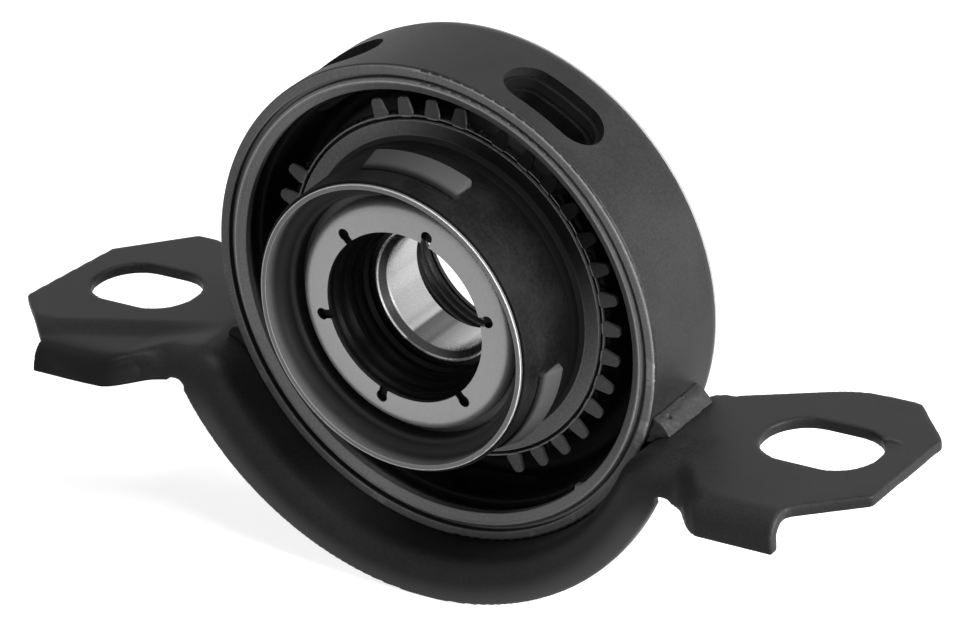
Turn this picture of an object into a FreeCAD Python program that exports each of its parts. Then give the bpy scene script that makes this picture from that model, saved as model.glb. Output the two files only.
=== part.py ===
import FreeCAD, Part
import math
import os

import Sketcher

# Driveshaft centre bearing: a ball bearing in a rubber cushion, held by a ring and a stamped strap
# with two ears. The origin is the centre of the ball bearing, +Y runs along the shaft to the rear,
# +X to the right ear and +Z up. All lengths are millimetres and all angles degrees.

doc = FreeCAD.newDocument("centre_bearing")
sizes = doc.addObject("Spreadsheet::Sheet", "Sizes")

DIMENSIONS = {
    # Ball bearing
    "bore_radius": 15,
    "bearing_radius": 31,
    "bearing_half_width": 8,
    "race_chamfer": 1,
    "bore_chamfer": 2,
    "ball_radius": 4.7625,
    "ball_count": 9,
    "ball_gap": 0.03,
    "groove_radius": 4.95,
    "inner_race_wall": 4.2,
    "outer_race_wall": 4.1,
    "seal_seat_wall": 3,
    "seal_seat_depth": 1.6,
    "race_seal_thickness": 1.2,
    "race_seal_gap": 0.3,
    # Ball cage
    "cage_sheet": 0.8,
    "cage_half_band": 1.7,
    "pocket_gap": 0.12,
    "rivet_radius": 0.7,
    "rivet_head_radius": 1.2,
    "rivet_head_height": 0.45,
    # Bearing carrier with its dust cup
    "sheet": 1.2,
    "cup_width": 5.1,
    "cup_front": -28,
    "cup_depth": 5.8,
    "cup_corner": 2.4,
    "cup_neck_corner": 1,
    "carrier_rear": 22.6,
    # Dust seals
    "case_face": 21.75,
    "case_sheet": 1.2,
    "case_shoulder": 2.4,
    "case_step": 2,
    "case_step_depth": 4,
    "case_face_width": 9.4,
    "notch_count": 6,
    "notch_angle": 9.4,
    "notch_reach": 2.2,
    "notch_end_radius": 1.5,
    "notch_half_width": 1.15,
    "lip_width": 3,
    "lip_ridge_count": 3,
    "lip_gap": 0.6,
    "lip_ridge_height": 0.9,
    "lip_slope_share": 0.6,
    # Housing and the ring pressed into it
    "bearing_rise": 2.3,
    "housing_radius": 61,
    "housing_wall": 2.6,
    "housing_front": -10.5,
    "housing_length": 28.6,
    "housing_edge": 0.9,
    "housing_tail": 2.6,
    "housing_tail_drop": 0.7,
    "groove_width": 0.8,
    "groove_depth": 1.7,
    "lip_setback": 0.3,
    "cushion_ring_wall": 2.9,
    "cushion_ring_lip": 0.9,
    "vent_angle": 60,
    "vent_half_length": 13.5,
    "vent_half_width": 6.9,
    "vent_centre": 2.1,
    "vent_step": 1.1,
    "vent_depth": 6,
    "lower_vent_angle": -84,
    # Rubber cushion, flange ring and toothed ring
    "collar_wall": 1.2,
    "collar_taper": 0.4,
    "collar_setback": 0.8,
    "pad_front_height": 0.3,
    "pad_height": 2.5,
    "pad_front": -21.2,
    "pad_length": 7.5,
    "pad_angle": 86,
    "pad_span": 40,
    "pad_count": 3,
    "flange_front": -4.5,
    "flange_sheet": 0.8,
    "flange_width": 3.6,
    "flange_sleeve": 3.6,
    "flange_corner": 3.2,
    "tooth_sheet": 0.8,
    "tooth_rim_width": 2.3,
    "tooth_share": 0.641,
    "tooth_base_half_width": 2.15,
    "tooth_tip_half_width": 1.15,
    "tooth_pitch_angle": 9.6,
    "tooth_bead": 0.4,
    "tooth_bead_width": 0.9,
    "tooth_tip_share": 0.95,
    "lower_row_angle": -69,
    "lower_row_count": 15,
    "upper_row_angle": 80,
    "upper_row_count": 4,
    "side_row_angle": 151.2,
    "side_row_count": 2,
    "web_valley": 10,
    "web_thickness": 5,
    "web_rear": 16.8,
    "web_crest_share": 0.518,
    "web_valley_share": 0.679,
    "web_corner_share": 0.146,
    "web_band_inset": 4.5,
    "web_band_wall": 2.2,
    "web_band_front": -4,
    "web_back_setback": 2,
    # Mounting strap
    "strap": 3,
    "neck_rear": 14.6,
    "saddle_front": -23.7,
    "saddle_flare": 7,
    "apron_reach": 14.1,
    "apron_rise": 3.85,
    "ear_drop": 20.3,
    "bend_radius": 12,
    "bend_depth": 11.5,
    "notch_depth": 7.6,
    "notch_setback": 1.15,
    "notch_width": 4.9,
    "notch_corner": 2,
    "flare_run": 12.4,
    "flare_first_share": 0.26,
    "flare_second_share": 0.74,
    "ear_front": -33.8,
    "ear_flare": 6,
    "ear_flange": 8.8,
    "right_flange_past_hole": 7.6,
    "right_flange_shoulder": -26.6,
    "right_ear_rear": 30,
    "right_front_past_hole": 22.3,
    "right_rear_past_hole": 23.5,
    "right_shoulder_past_hole": 11.1,
    "left_flange_past_hole": 8.6,
    "left_flange_shoulder": -29.2,
    "left_ear_rear": 32.2,
    "left_front_past_hole": 24.7,
    "left_rear_past_hole": 21.2,
    "left_shoulder_past_hole": 5.3,
    "ear_corner_front": -14,
    "ear_corner_rear": 16.6,
    "ear_taper_before_hole": 4.5,
    "ear_rounding": 1.5,
    "ear_sweep": 24,
    "hole_span": 192,
    "hole_centre": 2.8,
    "hole_half_length": 14.85,
    "hole_half_width": 10.4,
    # Weld beads
    "weld_front": -9.5,
    "weld_rear": 10,
    "right_weld_height": 4,
    "right_weld_reach": 2,
    "left_weld_height": 2.4,
    "left_weld_reach": 1,
    "weld_root": 2.6,
    "weld_crown": 0.6,
    "weld_inner_share": 0.85,
}

# Sizes that follow from the ones above
FOLLOWING = {
    "pitch_radius": "({bore_radius} + {bearing_radius}) / 2",
    "inner_land_radius": "{bore_radius} + {inner_race_wall}",
    "outer_land_radius": "{bearing_radius} - {outer_race_wall}",
    "seal_seat_radius": "{bearing_radius} - {seal_seat_wall}",
    "case_hole_radius": "{bearing_radius} - {case_face_width}",
    "notch_centre_radius": "{case_hole_radius} + {notch_reach}",
    "lip_radius": "{case_hole_radius} - {lip_width}",
    "sleeve_radius": "{bearing_radius} + {sheet}",
    "cup_radius": "{bearing_radius} + {cup_width}",
    "cup_floor": "{cup_front} + {cup_depth}",
    "collar_radius": "{cup_radius} + {collar_wall}",
    "collar_front_radius": "{collar_radius} - {collar_taper}",
    "seat_radius": "{collar_radius} - {flange_sheet}",
    "flange_radius": "{collar_radius} + {flange_width}",
    "tooth_front": "{flange_front} + {flange_sheet}",
    "tooth_rear": "{tooth_front} + {tooth_sheet}",
    "housing_bore": "{housing_radius} - {housing_wall}",
    "housing_rear": "{housing_front} + {housing_length}",
    "cushion_radius": "{housing_bore} - {cushion_ring_wall}",
    "web_band_radius": "{cushion_radius} - {web_band_inset}",
    "web_gap": "{web_band_radius} - {collar_radius}",
    "web_crest_radius": "{collar_radius} + {web_crest_share} * {web_gap}",
    "web_valley_radius": "{collar_radius} + {web_valley_share} * {web_gap}",
    "web_corner": "{web_corner_share} * {web_gap}",
    "web_rim_radius": "{housing_bore} + {bearing_rise}",
    "tooth_root_radius": "{flange_radius} + {tooth_rim_width}",
    "tooth_tip_radius": "{tooth_root_radius} + {tooth_share} * ({web_band_radius} - {tooth_root_radius})",
    "apron_radius": "{housing_radius} + {apron_reach}",
    "bend_drop": "{ear_drop} + {bend_radius}",
    "bend_reach": "{housing_radius} + {bend_radius}",
    "bend_spread": "sqrt({bend_reach}^2 - {bend_drop}^2)",
    "notch_start": "{bend_spread} + {notch_setback}",
    "notch_end": "{notch_start} + {notch_width}",
    "right_flange_end": "{hole_span} / 2 + {right_flange_past_hole}",
    "right_front_end": "{hole_span} / 2 + {right_front_past_hole}",
    "right_rear_end": "{hole_span} / 2 + {right_rear_past_hole}",
    "right_shoulder": "{hole_span} / 2 + {right_shoulder_past_hole}",
    "left_flange_end": "{hole_span} / 2 + {left_flange_past_hole}",
    "left_front_end": "{hole_span} / 2 + {left_front_past_hole}",
    "left_rear_end": "{hole_span} / 2 + {left_rear_past_hole}",
    "left_shoulder": "{hole_span} / 2 + {left_shoulder_past_hole}",
    "ear_taper_start": "{hole_span} / 2 - {ear_taper_before_hole}",
}

for row, (alias, value) in enumerate(DIMENSIONS.items(), start=1):
    sizes.set(f"A{row}", alias.replace("_", " "))
    sizes.set(f"B{row}", str(value))
    sizes.setAlias(f"B{row}", alias)
doc.recompute()

Y_AXIS = FreeCAD.Vector(0, 1, 0)
FULL_TURN = 360
finished = []


def named(text):
    """Expression with each word in braces written as cells of the sheet."""
    for word in reversed(FOLLOWING):
        text = text.replace("{" + word + "}", "(" + FOLLOWING[word] + ")")
    for alias in DIMENSIONS:
        text = text.replace("{" + alias + "}", "Sizes." + alias)
    return text


def number(text):
    """Value of an expression of the sheet."""
    return float(sizes.evalExpression(named(str(text))))


def bind(item, prop, text):
    item.setExpression(prop, named(str(text)))


def constrain(sketch, kind, *items):
    """Dimension whose last item is an expression of the sheet."""
    index = sketch.addConstraint(Sketcher.Constraint(kind, *items[:-1], number(items[-1])))
    bind(sketch, f"Constraints[{index}]", items[-1])


def pin(sketch, geometry, point, across, up):
    constrain(sketch, "DistanceX", -1, 1, geometry, point, across)
    constrain(sketch, "DistanceY", -1, 1, geometry, point, up)


def outline(sketch, corners):
    """Closed outline of straight lines; a corner with a third entry is rounded to that radius."""
    places = [FreeCAD.Vector(number(corner[0]), number(corner[1]), 0) for corner in corners]
    count = len(corners)
    entries = []
    exits = []
    arcs = []
    for index, corner in enumerate(corners):
        here = places[index]
        if len(corner) == 2:
            entries.append(here)
            exits.append(here)
            arcs.append(None)
            continue
        radius = number(corner[2])
        back = (places[index - 1] - here).normalize()
        ahead = (places[(index + 1) % count] - here).normalize()
        half = back.getAngle(ahead) / 2
        reach = radius / math.tan(half)
        centre = here + (back + ahead).normalize() * (radius / math.sin(half))
        start = here + back * reach
        end = here + ahead * reach
        entries.append(start)
        exits.append(end)
        turns_left = back.cross(ahead).z < 0
        first, last = (start, end) if turns_left else (end, start)
        from_angle = math.atan2(first.y - centre.y, first.x - centre.x)
        to_angle = math.atan2(last.y - centre.y, last.x - centre.x)
        circle = Part.Circle(centre, FreeCAD.Vector(0, 0, 1), radius)
        arcs.append((Part.ArcOfCircle(circle, from_angle, to_angle), turns_left))
    lines = []
    for index in range(count):
        line = Part.LineSegment(exits[index], entries[(index + 1) % count])
        lines.append(sketch.addGeometry(line, False))
    for index, corner in enumerate(corners):
        before = lines[index - 1]
        after = lines[index]
        if arcs[index] is None:
            sketch.addConstraint(Sketcher.Constraint("Coincident", before, 2, after, 1))
            pin(sketch, after, 1, corner[0], corner[1])
            continue
        arc, turns_left = arcs[index]
        rounding = sketch.addGeometry(arc, False)
        enter, leave = (1, 2) if turns_left else (2, 1)
        sketch.addConstraint(Sketcher.Constraint("Tangent", before, 2, rounding, enter))
        sketch.addConstraint(Sketcher.Constraint("Tangent", rounding, leave, after, 1))
        constrain(sketch, "Radius", rounding, corner[2])
        mark = sketch.addGeometry(Part.Point(places[index]), True)
        sketch.addConstraint(Sketcher.Constraint("PointOnObject", mark, 1, before))
        sketch.addConstraint(Sketcher.Constraint("PointOnObject", mark, 1, after))
        pin(sketch, mark, 1, corner[0], corner[1])
    return sketch


def disc(sketch, across, up, radius):
    """Circle with its centre and radius held by expressions."""
    centre = FreeCAD.Vector(number(across), number(up), 0)
    circle = sketch.addGeometry(Part.Circle(centre, FreeCAD.Vector(0, 0, 1), number(radius)), False)
    constrain(sketch, "Radius", circle, radius)
    pin(sketch, circle, 3, across, up)
    return sketch


def half_disc(sketch, across, up, radius):
    """Half circle on the side away from the axis, closed by its diameter, which is the first line."""
    x = number(across)
    y = number(up)
    size = number(radius)
    top = FreeCAD.Vector(x, y + size, 0)
    bottom = FreeCAD.Vector(x, y - size, 0)
    circle = Part.Circle(FreeCAD.Vector(x, y, 0), FreeCAD.Vector(0, 0, 1), size)
    line = sketch.addGeometry(Part.LineSegment(top, bottom), False)
    arc = sketch.addGeometry(Part.ArcOfCircle(circle, -math.pi / 2, math.pi / 2), False)
    sketch.addConstraint(Sketcher.Constraint("Coincident", line, 1, arc, 2))
    sketch.addConstraint(Sketcher.Constraint("Coincident", line, 2, arc, 1))
    sketch.addConstraint(Sketcher.Constraint("PointOnObject", arc, 3, line))
    sketch.addConstraint(Sketcher.Constraint("Vertical", line))
    constrain(sketch, "Radius", arc, radius)
    pin(sketch, arc, 3, across, up)
    axis = sketch.addGeometry(Part.LineSegment(bottom, top), True)
    sketch.addConstraint(Sketcher.Constraint("Coincident", axis, 1, arc, 1))
    sketch.addConstraint(Sketcher.Constraint("Coincident", axis, 2, arc, 2))
    return sketch


def stadium(sketch, across, up, half_length, half_width):
    """Slot with round ends, its length across the sketch."""
    x = number(across)
    y = number(up)
    size = number(half_width)
    run = number(f"({half_length}) - ({half_width})")
    normal = FreeCAD.Vector(0, 0, 1)
    right = Part.Circle(FreeCAD.Vector(x + run, y, 0), normal, size)
    left = Part.Circle(FreeCAD.Vector(x - run, y, 0), normal, size)
    low = Part.LineSegment(FreeCAD.Vector(x - run, y - size, 0), FreeCAD.Vector(x + run, y - size, 0))
    high = Part.LineSegment(FreeCAD.Vector(x + run, y + size, 0), FreeCAD.Vector(x - run, y + size, 0))
    a = sketch.addGeometry(low, False)
    b = sketch.addGeometry(Part.ArcOfCircle(right, -math.pi / 2, math.pi / 2), False)
    c = sketch.addGeometry(high, False)
    d = sketch.addGeometry(Part.ArcOfCircle(left, math.pi / 2, 3 * math.pi / 2), False)
    for first, second in ((a, b), (b, c), (c, d), (d, a)):
        sketch.addConstraint(Sketcher.Constraint("Tangent", first, 2, second, 1))
    constrain(sketch, "Radius", b, half_width)
    constrain(sketch, "Radius", d, half_width)
    pin(sketch, b, 3, f"({across}) + ({half_length}) - ({half_width})", up)
    pin(sketch, d, 3, f"({across}) - ({half_length}) + ({half_width})", up)
    return sketch


def new_body(name):
    body = doc.addObject("PartDesign::Body", name)
    body.Label = name
    finished.append(body)
    return body


def origin_part(body, role):
    return next(item for item in body.Origin.OriginFeatures if item.Role == role)


def plane_sketch(body, role, name, turn=None):
    """Sketch on one of the body's planes, turned about the shaft axis where a turn is given."""
    sketch = body.newObject("Sketcher::SketchObject", name)
    sketch.AttachmentSupport = [(origin_part(body, role), "")]
    sketch.MapMode = "FlatFace"
    if turn:
        axis = Y_AXIS if role == "XY_Plane" else FreeCAD.Vector(0, 0, 1)
        sketch.AttachmentOffset = FreeCAD.Placement(FreeCAD.Vector(), FreeCAD.Rotation(axis, 1))
        bind(sketch, "AttachmentOffset.Rotation.Angle", turn)
    return sketch


def revolve(body, name, sketch, cut=False, axis="V_Axis"):
    kind = "PartDesign::Groove" if cut else "PartDesign::Revolution"
    turned = body.newObject(kind, name)
    turned.Profile = sketch
    turned.ReferenceAxis = (sketch, [axis])
    turned.Angle = FULL_TURN
    return turned


def ring(body, name, corners):
    return revolve(body, name, outline(plane_sketch(body, "XY_Plane", name + "_profile"), corners))


def pocket(body, name, sketch, length=None):
    """Pocket from the sketch outwards by a length, or both ways through everything."""
    cut = body.newObject("PartDesign::Pocket", name)
    cut.Profile = sketch
    if length:
        cut.Type = "Length"
        bind(cut, "Length", length)
        cut.Reversed = True
    else:
        cut.Type = "ThroughAll"
        cut.Midplane = True
    return cut


def around(body, name, feature, copies, angle=None):
    """Polar pattern about the shaft axis."""
    pattern = body.newObject("PartDesign::PolarPattern", name)
    pattern.Originals = [feature]
    pattern.Axis = (origin_part(body, "Y_Axis"), [""])
    pattern.Angle = FULL_TURN
    if angle:
        bind(pattern, "Angle", angle)
    bind(pattern, "Occurrences", copies)
    body.Tip = pattern
    return pattern


# Ball bearing

inner_race = new_body("inner_race")
ring(inner_race, "inner_ring", [
    ("{bore_radius}", "{bore_chamfer} - {bearing_half_width}"),
    ("{bore_radius} + {bore_chamfer}", "-{bearing_half_width}"),
    ("{inner_land_radius}", "-{bearing_half_width}"),
    ("{inner_land_radius}", "{bearing_half_width}"),
    ("{bore_radius} + {bore_chamfer}", "{bearing_half_width}"),
    ("{bore_radius}", "{bearing_half_width} - {bore_chamfer}"),
])
track = plane_sketch(inner_race, "XY_Plane", "inner_track_profile")
disc(track, "{pitch_radius} - {ball_radius} - {ball_gap} + {groove_radius}", "0", "{groove_radius}")
revolve(inner_race, "inner_track", track, cut=True)

outer_race = new_body("outer_race")
SEAL_STEP = "({bearing_half_width} - {seal_seat_depth})"
ring(outer_race, "outer_ring", [
    ("{outer_land_radius}", "-" + SEAL_STEP),
    ("{seal_seat_radius}", "-" + SEAL_STEP),
    ("{seal_seat_radius}", "-{bearing_half_width}"),
    ("{bearing_radius}", "-{bearing_half_width}", "{race_chamfer}"),
    ("{bearing_radius}", "{bearing_half_width}", "{race_chamfer}"),
    ("{seal_seat_radius}", "{bearing_half_width}"),
    ("{seal_seat_radius}", SEAL_STEP),
    ("{outer_land_radius}", SEAL_STEP),
])
track = plane_sketch(outer_race, "XY_Plane", "outer_track_profile")
disc(track, "{pitch_radius} + {ball_radius} + {ball_gap} - {groove_radius}", "0", "{groove_radius}")
revolve(outer_race, "outer_track", track, cut=True)

balls = new_body("balls")
balls.AllowCompound = True
ball_profile = plane_sketch(balls, "XY_Plane", "ball_profile")
half_disc(ball_profile, "{pitch_radius}", "0", "{ball_radius}")
ball = revolve(balls, "ball", ball_profile, axis="Axis0")
around(balls, "ball_row", ball, "{ball_count}")

RIVET_TURN = "180 / {ball_count}"
POCKET_RADIUS = "({ball_radius} + {pocket_gap})"


def cage_half(name, side):
    """Pressed half of the ball cage: a flat band with a domed pocket over each ball."""
    body = new_body(name)
    inner = "{pitch_radius} - {cage_half_band}"
    outer = "{pitch_radius} + {cage_half_band}"
    ring(body, name + "_band", [
        (inner, "0"), (outer, "0"), (outer, f"{side}{{cage_sheet}}"), (inner, f"{side}{{cage_sheet}}"),
    ])
    dome = plane_sketch(body, "XY_Plane", name + "_dome_profile")
    half_disc(dome, "{pitch_radius}", "0", POCKET_RADIUS + " + {cage_sheet}")
    solid = revolve(body, name + "_dome", dome, axis="Axis0")
    around(body, name + "_domes", solid, "{ball_count}")
    hollow = plane_sketch(body, "XY_Plane", name + "_pocket_profile")
    half_disc(hollow, "{pitch_radius}", "0", POCKET_RADIUS)
    void = revolve(body, name + "_pocket", hollow, cut=True, axis="Axis0")
    around(body, name + "_pockets", void, "{ball_count}")
    reach = POCKET_RADIUS + " + 2 * {cage_sheet}"
    for label, near, far in (
        ("inside", "{bore_radius}", inner),
        ("outside", outer, "{bearing_radius}"),
    ):
        trim = plane_sketch(body, "XY_Plane", f"{name}_{label}_profile")
        outline(trim, [(near, f"-({reach})"), (far, f"-({reach})"), (far, reach), (near, reach)])
        revolve(body, f"{name}_{label}", trim, cut=True)
    other = "" if side == "-" else "-"
    trim = plane_sketch(body, "XY_Plane", f"{name}_half_profile")
    low, high = sorted(("0", f"{other}({reach})"), key=number)
    outline(trim, [
        ("{bore_radius}", low), ("{bearing_radius}", low),
        ("{bearing_radius}", high), ("{bore_radius}", high),
    ])
    revolve(body, f"{name}_half", trim, cut=True)
    hole = plane_sketch(body, "XZ_Plane", name + "_rivet_hole_profile", turn=RIVET_TURN)
    disc(hole, "{pitch_radius}", "0", "{rivet_radius}")
    around(body, name + "_rivet_holes", pocket(body, name + "_rivet_hole", hole), "{ball_count}")
    return body


cage_half("cage_front", "-")
cage_half("cage_rear", "")

rivets = new_body("cage_rivets")
rivets.AllowCompound = True
profile = plane_sketch(rivets, "XY_Plane", "rivet_profile", turn=RIVET_TURN)
HEAD_SEAT = "{cage_sheet}"
HEAD_TOP = "({cage_sheet} + {rivet_head_height})"
outline(profile, [
    ("{pitch_radius}", "-" + HEAD_TOP),
    ("{pitch_radius} + {rivet_head_radius}", "-" + HEAD_TOP),
    ("{pitch_radius} + {rivet_head_radius}", "-" + HEAD_SEAT),
    ("{pitch_radius} + {rivet_radius}", "-" + HEAD_SEAT),
    ("{pitch_radius} + {rivet_radius}", HEAD_SEAT),
    ("{pitch_radius} + {rivet_head_radius}", HEAD_SEAT),
    ("{pitch_radius} + {rivet_head_radius}", HEAD_TOP),
    ("{pitch_radius}", HEAD_TOP),
])
last = len(profile.Geometry) - 1
edge = profile.Geometry[last]
stem = profile.addGeometry(Part.LineSegment(edge.StartPoint, edge.EndPoint), True)
profile.addConstraint(Sketcher.Constraint("Coincident", stem, 1, last, 1))
profile.addConstraint(Sketcher.Constraint("Coincident", stem, 2, last, 2))
rivet = revolve(rivets, "rivet", profile, axis="Axis0")
around(rivets, "rivet_row", rivet, "{ball_count}")


def race_seal(name, side):
    """Thin rubber-coated washer that closes the ball space and clears the inner race."""
    near = f"{side}{SEAL_STEP}"
    far = f"{side}({SEAL_STEP} + {{race_seal_thickness}})"
    low, high = sorted((near, far), key=number)
    body = new_body(name)
    ring(body, name + "_washer", [
        ("{inner_land_radius} + {race_seal_gap}", low),
        ("{seal_seat_radius}", low),
        ("{seal_seat_radius}", high),
        ("{inner_land_radius} + {race_seal_gap}", high),
    ])


race_seal("race_seal_front", "-")
race_seal("race_seal_rear", "")

# Bearing carrier, whose front opens into the dust cup

carrier = new_body("bearing_carrier")
ring(carrier, "carrier_shell", [
    ("{cup_radius} - {sheet}", "{cup_front}"),
    ("{cup_radius}", "{cup_front}"),
    ("{cup_radius}", "{cup_floor} + {sheet}", "{cup_corner} + {sheet}"),
    ("{bearing_radius} + {sheet}", "{cup_floor} + {sheet}"),
    ("{bearing_radius} + {sheet}", "{carrier_rear}"),
    ("{bearing_radius}", "{carrier_rear}"),
    ("{bearing_radius}", "{cup_floor}", "{cup_neck_corner}"),
    ("{cup_radius} - {sheet}", "{cup_floor}", "{cup_corner}"),
])


def dust_seal(end, side):
    """Pressed case with keyhole notches in its rim, and the ridged rubber that it holds."""
    def at(text):
        return f"{side}({text})"

    wall = "{bearing_radius} - {case_sheet}"
    nose = "{bearing_radius} - {case_step}"
    inner_nose = "{bearing_radius} - {case_step} - {case_sheet}"
    step = "{case_face} - {case_step_depth}"
    inner_step = "{case_face} - {case_step_depth} - {case_sheet}"
    case = new_body("dust_seal_case_" + end)
    corners = [
        ("{bearing_radius}", at("{bearing_half_width}")),
        ("{bearing_radius}", at(step)),
        (nose, at(step)),
        (nose, at("{case_face}"), "{case_shoulder}"),
        ("{case_hole_radius}", at("{case_face}")),
        ("{case_hole_radius}", at("{case_face} - {case_sheet}")),
        (inner_nose, at("{case_face} - {case_sheet}"), "{case_shoulder} - {case_sheet}"),
        (inner_nose, at(inner_step)),
        (wall, at(inner_step)),
        (wall, at("{bearing_half_width}")),
    ]
    ring(case, f"case_{end}_shell", corners)
    eye = plane_sketch(case, "XZ_Plane", f"notch_{end}_eye_profile", turn="{notch_angle}")
    disc(eye, "{notch_centre_radius}", "0", "{notch_end_radius}")
    around(case, f"notch_{end}_eyes", pocket(case, f"notch_{end}_eye", eye), "{notch_count}")
    neck = plane_sketch(case, "XZ_Plane", f"notch_{end}_neck_profile", turn="{notch_angle}")
    outline(neck, [
        ("{lip_radius}", "-{notch_half_width}"),
        ("{notch_centre_radius}", "-{notch_half_width}"),
        ("{notch_centre_radius}", "{notch_half_width}"),
        ("{lip_radius}", "{notch_half_width}"),
    ])
    around(case, f"notch_{end}_necks", pocket(case, f"notch_{end}_neck", neck), "{notch_count}")

    rubber = new_body("dust_seal_lip_" + end)
    face = "{case_face} - {case_sheet}"
    base = "{bearing_half_width} + {lip_gap}"
    pitch = f"(({face}) - ({base})) / (2 * {{lip_ridge_count}} + 1)"
    drop = "{lip_width} / ({lip_ridge_count} + 1)"
    corners = [
        (wall, at(base)),
        (wall, at(inner_step)),
        (inner_nose, at(inner_step)),
        (inner_nose, at(face), "{case_shoulder} - {case_sheet}"),
        ("{case_hole_radius}", at(face)),
    ]
    for ridge in range(DIMENSIONS["lip_ridge_count"]):
        level = "{case_hole_radius} - " + f"{ridge} * {drop}"
        valley = f"{face} - (2 * {ridge} + 1) * {pitch}"
        corners += [
            (level + " + {lip_ridge_height} / 2", at(valley)),
            (level + " - {lip_ridge_height}", at(f"{valley} - {{lip_slope_share}} * {pitch}")),
        ]
    corners += [
        ("{lip_radius} + {lip_ridge_height}", at(f"{base} + {pitch}")),
        ("{lip_radius}", at(base)),
    ]
    ring(rubber, f"lip_{end}_rubber", corners)


dust_seal("front", "-")
dust_seal("rear", "")

# Rubber cushion with its collar, and the rings on it

cushion = new_body("rubber_cushion")
ring(cushion, "cushion_rubber", [
    ("{sleeve_radius}", "{cup_floor} + {sheet}"),
    ("{cup_radius}", "{cup_floor} + {sheet}", "{cup_corner} + {sheet}"),
    ("{cup_radius}", "{cup_front} + {collar_setback}"),
    ("{collar_front_radius}", "{cup_front} + {collar_setback}"),
    ("{collar_radius}", "{flange_front} - {flange_sleeve}"),
    ("{seat_radius}", "{flange_front} - {flange_sleeve}"),
    ("{seat_radius}", "{tooth_rear}"),
    ("{web_crest_radius}", "{tooth_rear}", "{web_corner} / 2"),
    ("{web_valley_radius}", "{web_valley}", "{web_corner}"),
    ("{web_rim_radius}", "{web_valley}"),
    ("{web_rim_radius}", "{web_rear}"),
    ("{web_valley_radius} - {web_back_setback}", "{web_valley} + {web_thickness}", "{web_corner} * 3 / 2"),
    ("{web_crest_radius} - 2 * {web_back_setback}", "{web_thickness} + {tooth_rear}", "{web_corner} * 3 / 2"),
    ("{seat_radius}", "{web_thickness} + {tooth_rear}"),
    ("{seat_radius}", "{web_rear}"),
    ("{sleeve_radius}", "{web_rear}"),
])
band = plane_sketch(cushion, "XY_Plane", "band_profile")
bind(band, "AttachmentOffset.Base.z", "-{bearing_rise}")
outline(band, [
    ("{cushion_radius} - {web_band_wall}", "{web_rear}"),
    ("{cushion_radius} - {web_band_wall}", "{web_band_front}", "{web_corner} / 2"),
    ("{cushion_radius}", "{web_band_front}"),
    ("{cushion_radius}", "{web_rear}"),
])
revolve(cushion, "band", band)
pad = plane_sketch(cushion, "XY_Plane", "pad_profile", turn="-{pad_angle} - {pad_span} / 2")
outline(pad, [
    ("{sleeve_radius} + {sheet}", "{pad_front}"),
    ("{collar_radius} + {pad_front_height}", "{pad_front}"),
    ("{collar_radius} + {pad_height}", "{pad_front} + {pad_length}"),
    ("{sleeve_radius} + {sheet}", "{pad_front} + {pad_length}"),
])
raised = revolve(cushion, "pad", pad)
bind(raised, "Angle", "{pad_span}")
around(cushion, "pads", raised, "{pad_count}")

trim = plane_sketch(cushion, "XZ_Plane", "cushion_bore_profile")
disc(trim, "0", "-{bearing_rise}", "2 * {web_rim_radius}")
disc(trim, "0", "-{bearing_rise}", "{cushion_radius}")
pocket(cushion, "cushion_bore", trim)


def vent(body, name, direction, shrink, drop="0"):
    """Round-ended window cut outwards, towards a direction from +X to +Z."""
    start = "{cushion_radius} - {vent_depth}"
    sketch = plane_sketch(body, "XY_Plane", name + "_profile", turn=f"90 - ({direction})")
    bind(sketch, "AttachmentOffset.Base.x", f"({start}) * cos({direction})")
    bind(sketch, "AttachmentOffset.Base.z", f"({start}) * sin({direction}) - {drop}")
    stadium(
        sketch, "0", "{vent_centre}",
        f"{{vent_half_length}} - {shrink} * {{vent_step}}",
        f"{{vent_half_width}} - {shrink} * {{vent_step}}",
    )
    return pocket(body, name, sketch, "{housing_radius}")


TOP_WINDOWS = (("right", "{vent_angle}"), ("left", "180 - {vent_angle}"))
WINDOWS = TOP_WINDOWS + (("bottom", "{lower_vent_angle}"),)
for label, direction in WINDOWS:
    vent(cushion, f"cushion_vent_{label}", direction, 2, "{bearing_rise}")

flange = new_body("flange_ring")
ring(flange, "flange_shell", [
    ("{seat_radius}", "{flange_front} - {flange_sleeve}"),
    ("{collar_radius}", "{flange_front} - {flange_sleeve}"),
    ("{collar_radius}", "{flange_front}", "{flange_corner}"),
    ("{flange_radius}", "{flange_front}"),
    ("{flange_radius}", "{tooth_front}"),
    ("{seat_radius}", "{tooth_front}", "{flange_corner} + {flange_sheet}"),
])

toothed = new_body("toothed_ring")
ring(toothed, "toothed_washer", [
    ("{seat_radius}", "{tooth_front}"),
    ("{tooth_root_radius} - {tooth_bead_width}", "{tooth_front}"),
    ("{tooth_root_radius} - {tooth_bead_width}", "{tooth_front} - {tooth_bead}"),
    ("{tooth_root_radius}", "{tooth_front} - {tooth_bead}"),
    ("{tooth_root_radius}", "{tooth_rear}"),
    ("{seat_radius}", "{tooth_rear}"),
])


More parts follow.
